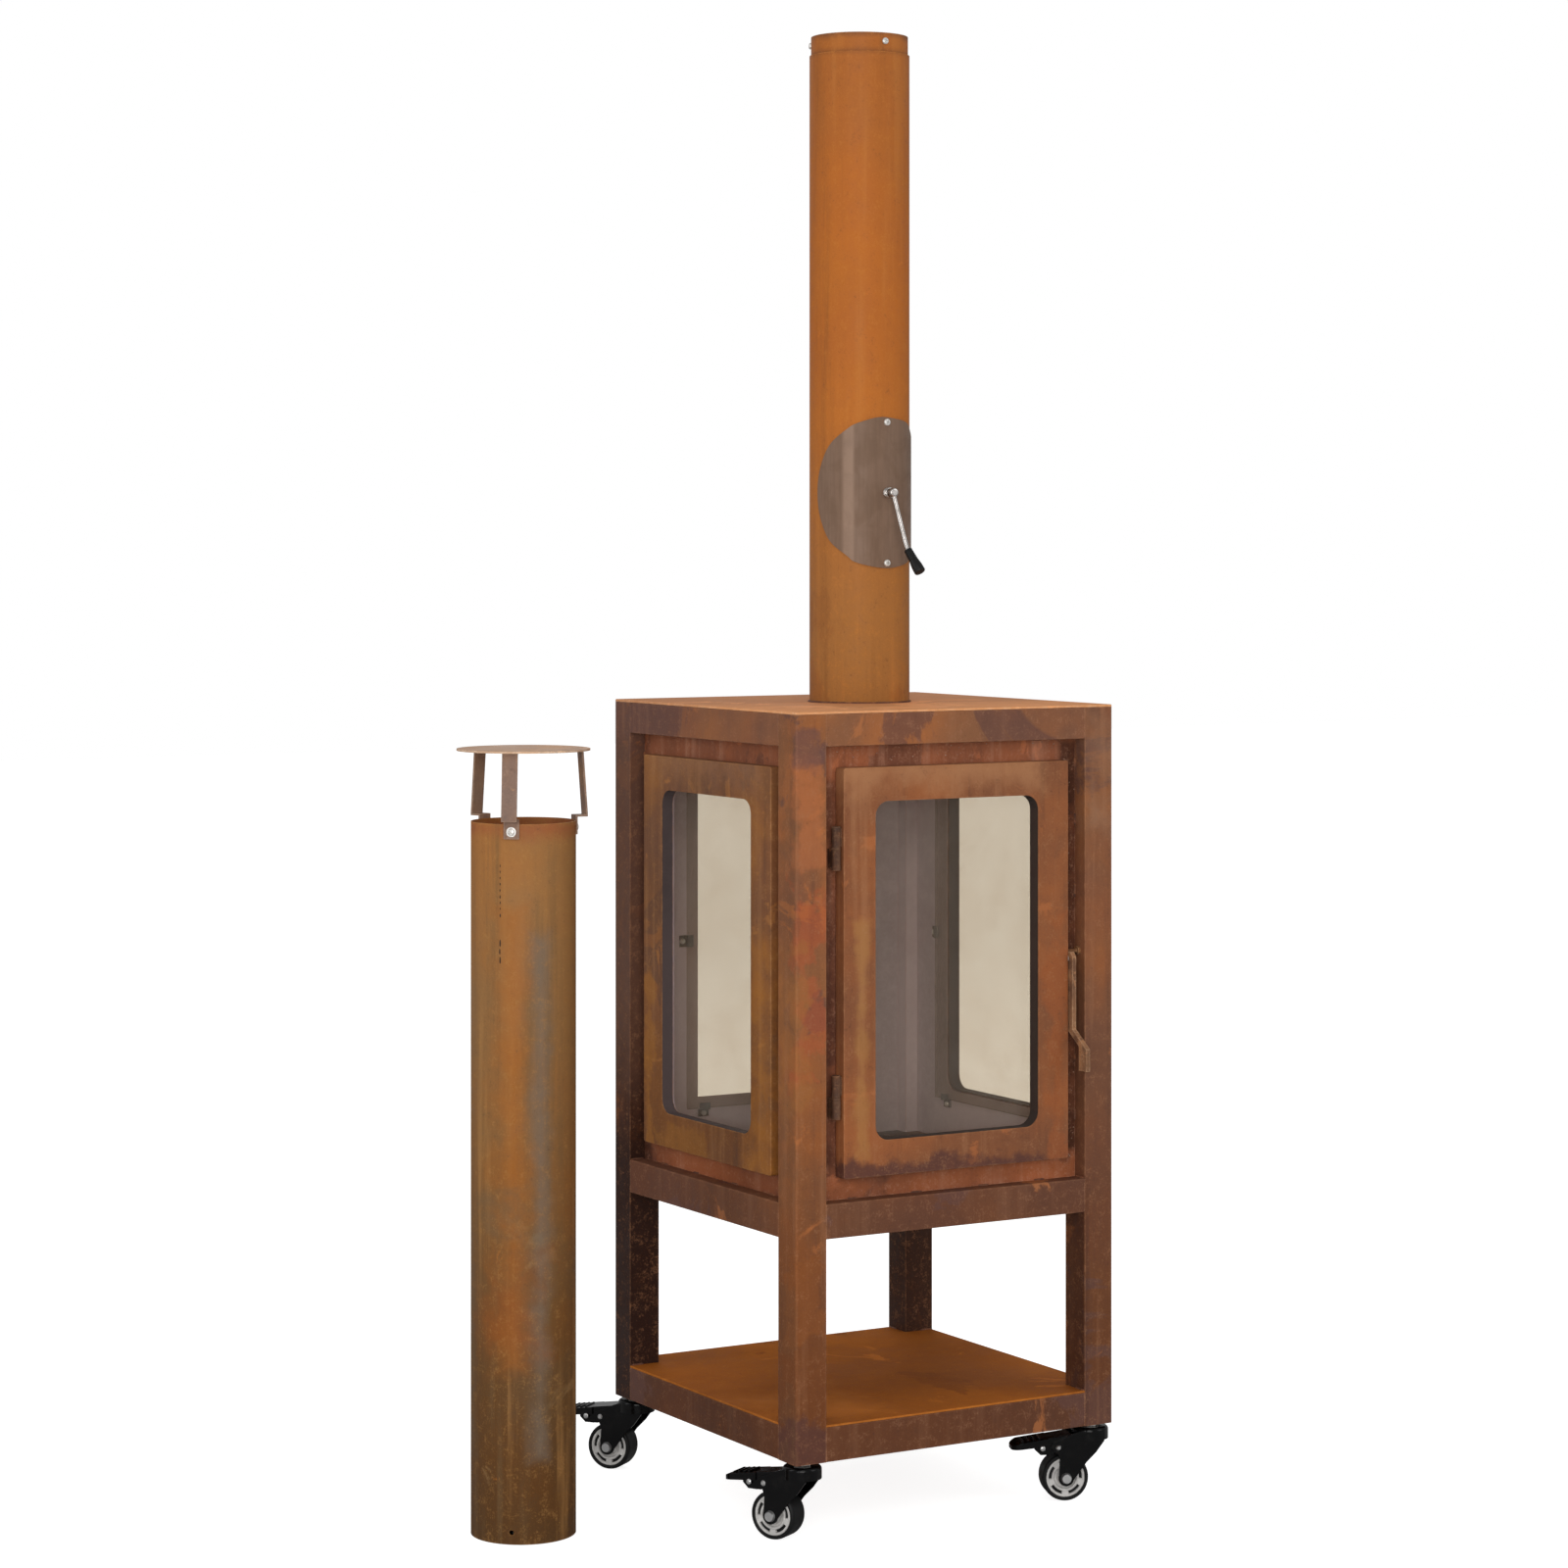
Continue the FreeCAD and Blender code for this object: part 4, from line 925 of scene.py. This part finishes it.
def seam_tacks(rng):
    """Tacks down the seam of the loose flue: nine short ones and three longer ones below."""
    form = bmesh.new()
    tacks = [(0.706 - 0.0064 * i, rng.uniform(0.0022, 0.0042)) for i in range(9)]
    tacks += [(0.628, 0.0075), (0.6185, 0.0062), (0.610, 0.0070)]
    reach = FLUE_R - 0.00005
    for top, length in tacks:
        bend = math.radians(SEAM_ANGLE) + rng.uniform(-0.006, 0.006)
        x = LOOSE_X + reach * math.cos(bend)
        y = reach * math.sin(bend)
        weld(form, line((x, y, top), (x, y, top - length), 0.0005), 0.0007, rng, ripple=0.0013)
    piece("loose_flue_seam_tacks", form, "loose_flue", MATERIALS["scale"], sharp=60)


def flue_details():
    """Welds of the two flues."""
    rng = random.Random(5)
    foot_weld(rng)
    seam_tacks(rng)


def flue_screw_heads():
    """Heads of the three sleeve screws and the two screws of the damper cover."""
    form = bmesh.new()
    for degrees in SLEEVE_SCREW_ANGLES:
        out = level_vector(degrees)
        seat = out * SLEEVE_R + Vector((0, 0, SLEEVE_SCREW_Z))
        pan_screw(form, seat, out, 0.0036, 0.0026, twist=degrees)
    for z in (DAMPER_Z - COVER_SCREW_REACH, DAMPER_Z + COVER_SCREW_REACH):
        pan_screw(form, Vector((0, -COVER_FRONT, z)), (0, -1, 0), 0.0038, 0.0028, twist=z * 9)
    piece("flue_screw_heads", form, "body", MATERIALS["screw_steel"], ("flue_screws",))


def strap_screw_heads():
    """Heads of the screws that hold the straps of the rain cap, on washers."""
    form = bmesh.new()
    for degrees in STRAP_ANGLES:
        out = level_vector(degrees)
        seat = out * STRAP_FRONT + Vector((LOOSE_X, 0, STRAP_SCREW_Z))
        pan_screw(form, seat, out, 0.0038, 0.0026, twist=degrees, washer=0.0052)
    piece("strap_screw_heads", form, "loose_flue", MATERIALS["screw_steel"], ("strap_screws",))


# ---------------------------------------------------------------- added detail: damper handle
ROD_R = 0.0025
ROD_START = Vector((0.0004, -0.071, DAMPER_Z - 0.0039))
ROD_BEND = Vector((0.006, -0.088, DAMPER_Z - 0.060))
ROD_TIP = Vector((0.011, -0.104, DAMPER_Z - 0.083))
GRIP_RUN = (ROD_TIP - ROD_BEND).normalized()


def damper_rod():
    """Bent chrome rod in one sweep, with its hub on the spindle."""
    form = bmesh.new()
    before = ROD_BEND + (ROD_START - ROD_BEND).normalized() * 0.010
    after = ROD_BEND + GRIP_RUN * 0.009
    points = [ROD_START, ROD_START.lerp(before, 0.5)]
    for i in range(13):
        t = i / 12
        points.append(before * (1 - t) ** 2 + ROD_BEND * 2 * t * (1 - t) + after * t * t)
    points.append(ROD_BEND + GRIP_RUN * 0.0158)
    sweep(form, points, [ROD_R] * len(points), around=20)
    hub = [(0.00295, 0.0), (0.0044, 0.0), (0.0049, 0.0005), (0.0049, 0.0058), (0.0045, 0.0066),
           (0.0038, 0.0070), (0.00295, 0.0070)]
    lathe(form, Vector((0, -0.0669, DAMPER_Z)), (0, -1, 0), hub, hollow=True)
    piece("damper_rod_bent", form, "damper", MATERIALS["chrome_rod"], ("damper_rod",))


def damper_grip():
    """Moulded grip that widens to its end, with five rings."""
    form = bmesh.new()
    start = 0.003
    length = (ROD_TIP - ROD_BEND).length - start
    profile = [(0.0027, 0.0), (0.0040, 0.0), (0.0045, 0.0006)]
    for i in range(5):
        h = 0.0022 + i * 0.0028
        r = 0.0045 + 0.0011 * h / length
        profile += [(r, h), (r - 0.0004, h + 0.0004), (r - 0.0004, h + 0.0011), (r, h + 0.0015)]
    profile += [(0.0056, length * 0.72), (0.0060, length * 0.86)]
    profile += [(0.0062, length + 0.0030), (0.0061, length + 0.0038), (0.0056, length + 0.0045)]
    profile += [(0.0048, length + 0.0047), (0.0, length + 0.0044)]
    lathe(form, ROD_BEND + GRIP_RUN * start, GRIP_RUN, profile, around=40)
    piece("damper_grip_moulded", form, "damper", MATERIALS["black_grip"], ("damper_grip",))


# ---------------------------------------------------------------- added detail: casters
RIVET = [(0.0029, 0.0), (0.0029, 0.0008), (0.0024, 0.0014), (0.0014, 0.0017), (0.0, 0.0018)]
HUB_RING = [(0.0128, -0.0002), (0.0146, -0.0002), (0.0146, 0.0003), (0.0142, 0.0006), (0.0132, 0.0006),
            (0.0128, 0.0003)]
RIM_RING = [(0.0188, -0.0002), (0.0210, -0.0002), (0.0211, 0.0003), (0.0206, 0.0007), (0.0193, 0.0007),
            (0.0188, 0.0003)]


def shoe_rivets(name, turn):
    """Bright rivets on both ends of a brake shoe."""
    form = bmesh.new()
    x, y, z = SHOE_RIVET
    for side in (-1, 1):
        out = turn.to_3x3() @ Vector((0, side, 0))
        lathe(form, turn @ Vector((x, side * y, z)), out, RIVET, around=28)
    piece("shoe_rivets_" + name, form, "pedal_" + name, MATERIALS["caster_steel"])


def wheel_rings(name, turn):
    """Raised rings round the hub and the rim, on both faces of a wheel."""
    form = bmesh.new()
    for side in (-1, 1):
        middle = turn @ Vector((CASTER_TRAIL, side * WHEEL_FACE, WHEEL_R))
        out = turn.to_3x3() @ Vector((0, side, 0))
        lathe(form, middle, out, HUB_RING, around=64, hollow=True)
        lathe(form, middle, out, RIM_RING, around=64, hollow=True)
    piece("wheel_rings_" + name, form, "wheel_" + name, MATERIALS["wheel_core"])


def pocket_floor(form, turn, side, middle):
    """Adds the dark floor of one curved pocket of a wheel: a low dished arc."""
    radii = (0.01515, 0.0158, 0.0167, 0.0176, 0.01825)
    heights = (0.0098, 0.0092, 0.0090, 0.0092, 0.0098)
    steps, span, thick = 14, 45, 0.0008
    top, low = [], []
    for i in range(steps + 1):
        angle = middle + math.radians(span * i / steps - span / 2)
        for rows, depth in ((top, 0.0), (low, thick)):
            row = []
            for radius, height in zip(radii, heights):
                x = CASTER_TRAIL + radius * math.cos(angle)
                z = WHEEL_R + radius * math.sin(angle)
                row.append(form.verts.new(turn @ Vector((x, side * (height - depth), z))))
            rows.append(row)
    last = len(radii) - 1
    for i in range(steps):
        for j in range(last):
            form.faces.new((top[i][j], top[i][j + 1], top[i + 1][j + 1], top[i + 1][j]))
            form.faces.new((low[i][j], low[i + 1][j], low[i + 1][j + 1], low[i][j + 1]))
        for j in (0, last):
            form.faces.new((top[i][j], top[i + 1][j], low[i + 1][j], low[i][j]))
    for i in (0, steps):
        for j in range(last):
            form.faces.new((top[i][j], low[i][j], low[i][j + 1], top[i][j + 1]))


def wheel_pockets(name, turn):
    """Dark floors of the five pockets on each face of a wheel."""
    form = bmesh.new()
    for side in (-1, 1):
        for step in range(5):
            pocket_floor(form, turn, side, math.radians(72 * step + 18))
    piece("wheel_pockets_" + name, form, "wheel_" + name, MATERIALS["tread_rubber"])


def caster_details():
    """Rivets, rings and pocket floors of the four casters."""
    for name, (sx, sy, degrees) in CASTERS.items():
        place = Matrix.Translation((sx * CASTER_AT, sy * CASTER_AT, 0))
        turn = place @ Matrix.Rotation(math.radians(degrees), 4, "Z")
        shoe_rivets(name, turn)
        wheel_rings(name, turn)
        wheel_pockets(name, turn)


# ---------------------------------------------------------------- the parts
FINISH = {                   # nodes whose material is not the one of their slot
    "frame_rails": "rail_rust",
    "shelf_plate": "shelf_rust",
    "rain_cap": "cap_rust",
    "cap_straps": "strap_rust",
    "hinge_frame_halves": "hinge_rust",
    "hinge_door_halves": "hinge_rust",
    "latch_lever": "lever_rust",
}

make_camera()
make_studio()
MATERIALS = make_materials()
for node, obj in NODES.items():
    obj.data.materials.clear()
    obj.data.materials.append(MATERIALS[FINISH.get(node, SLOT_OF[node])])
frame_welds()
flue_details()
flue_screw_heads()
strap_screw_heads()
damper_rod()
damper_grip()
caster_details()
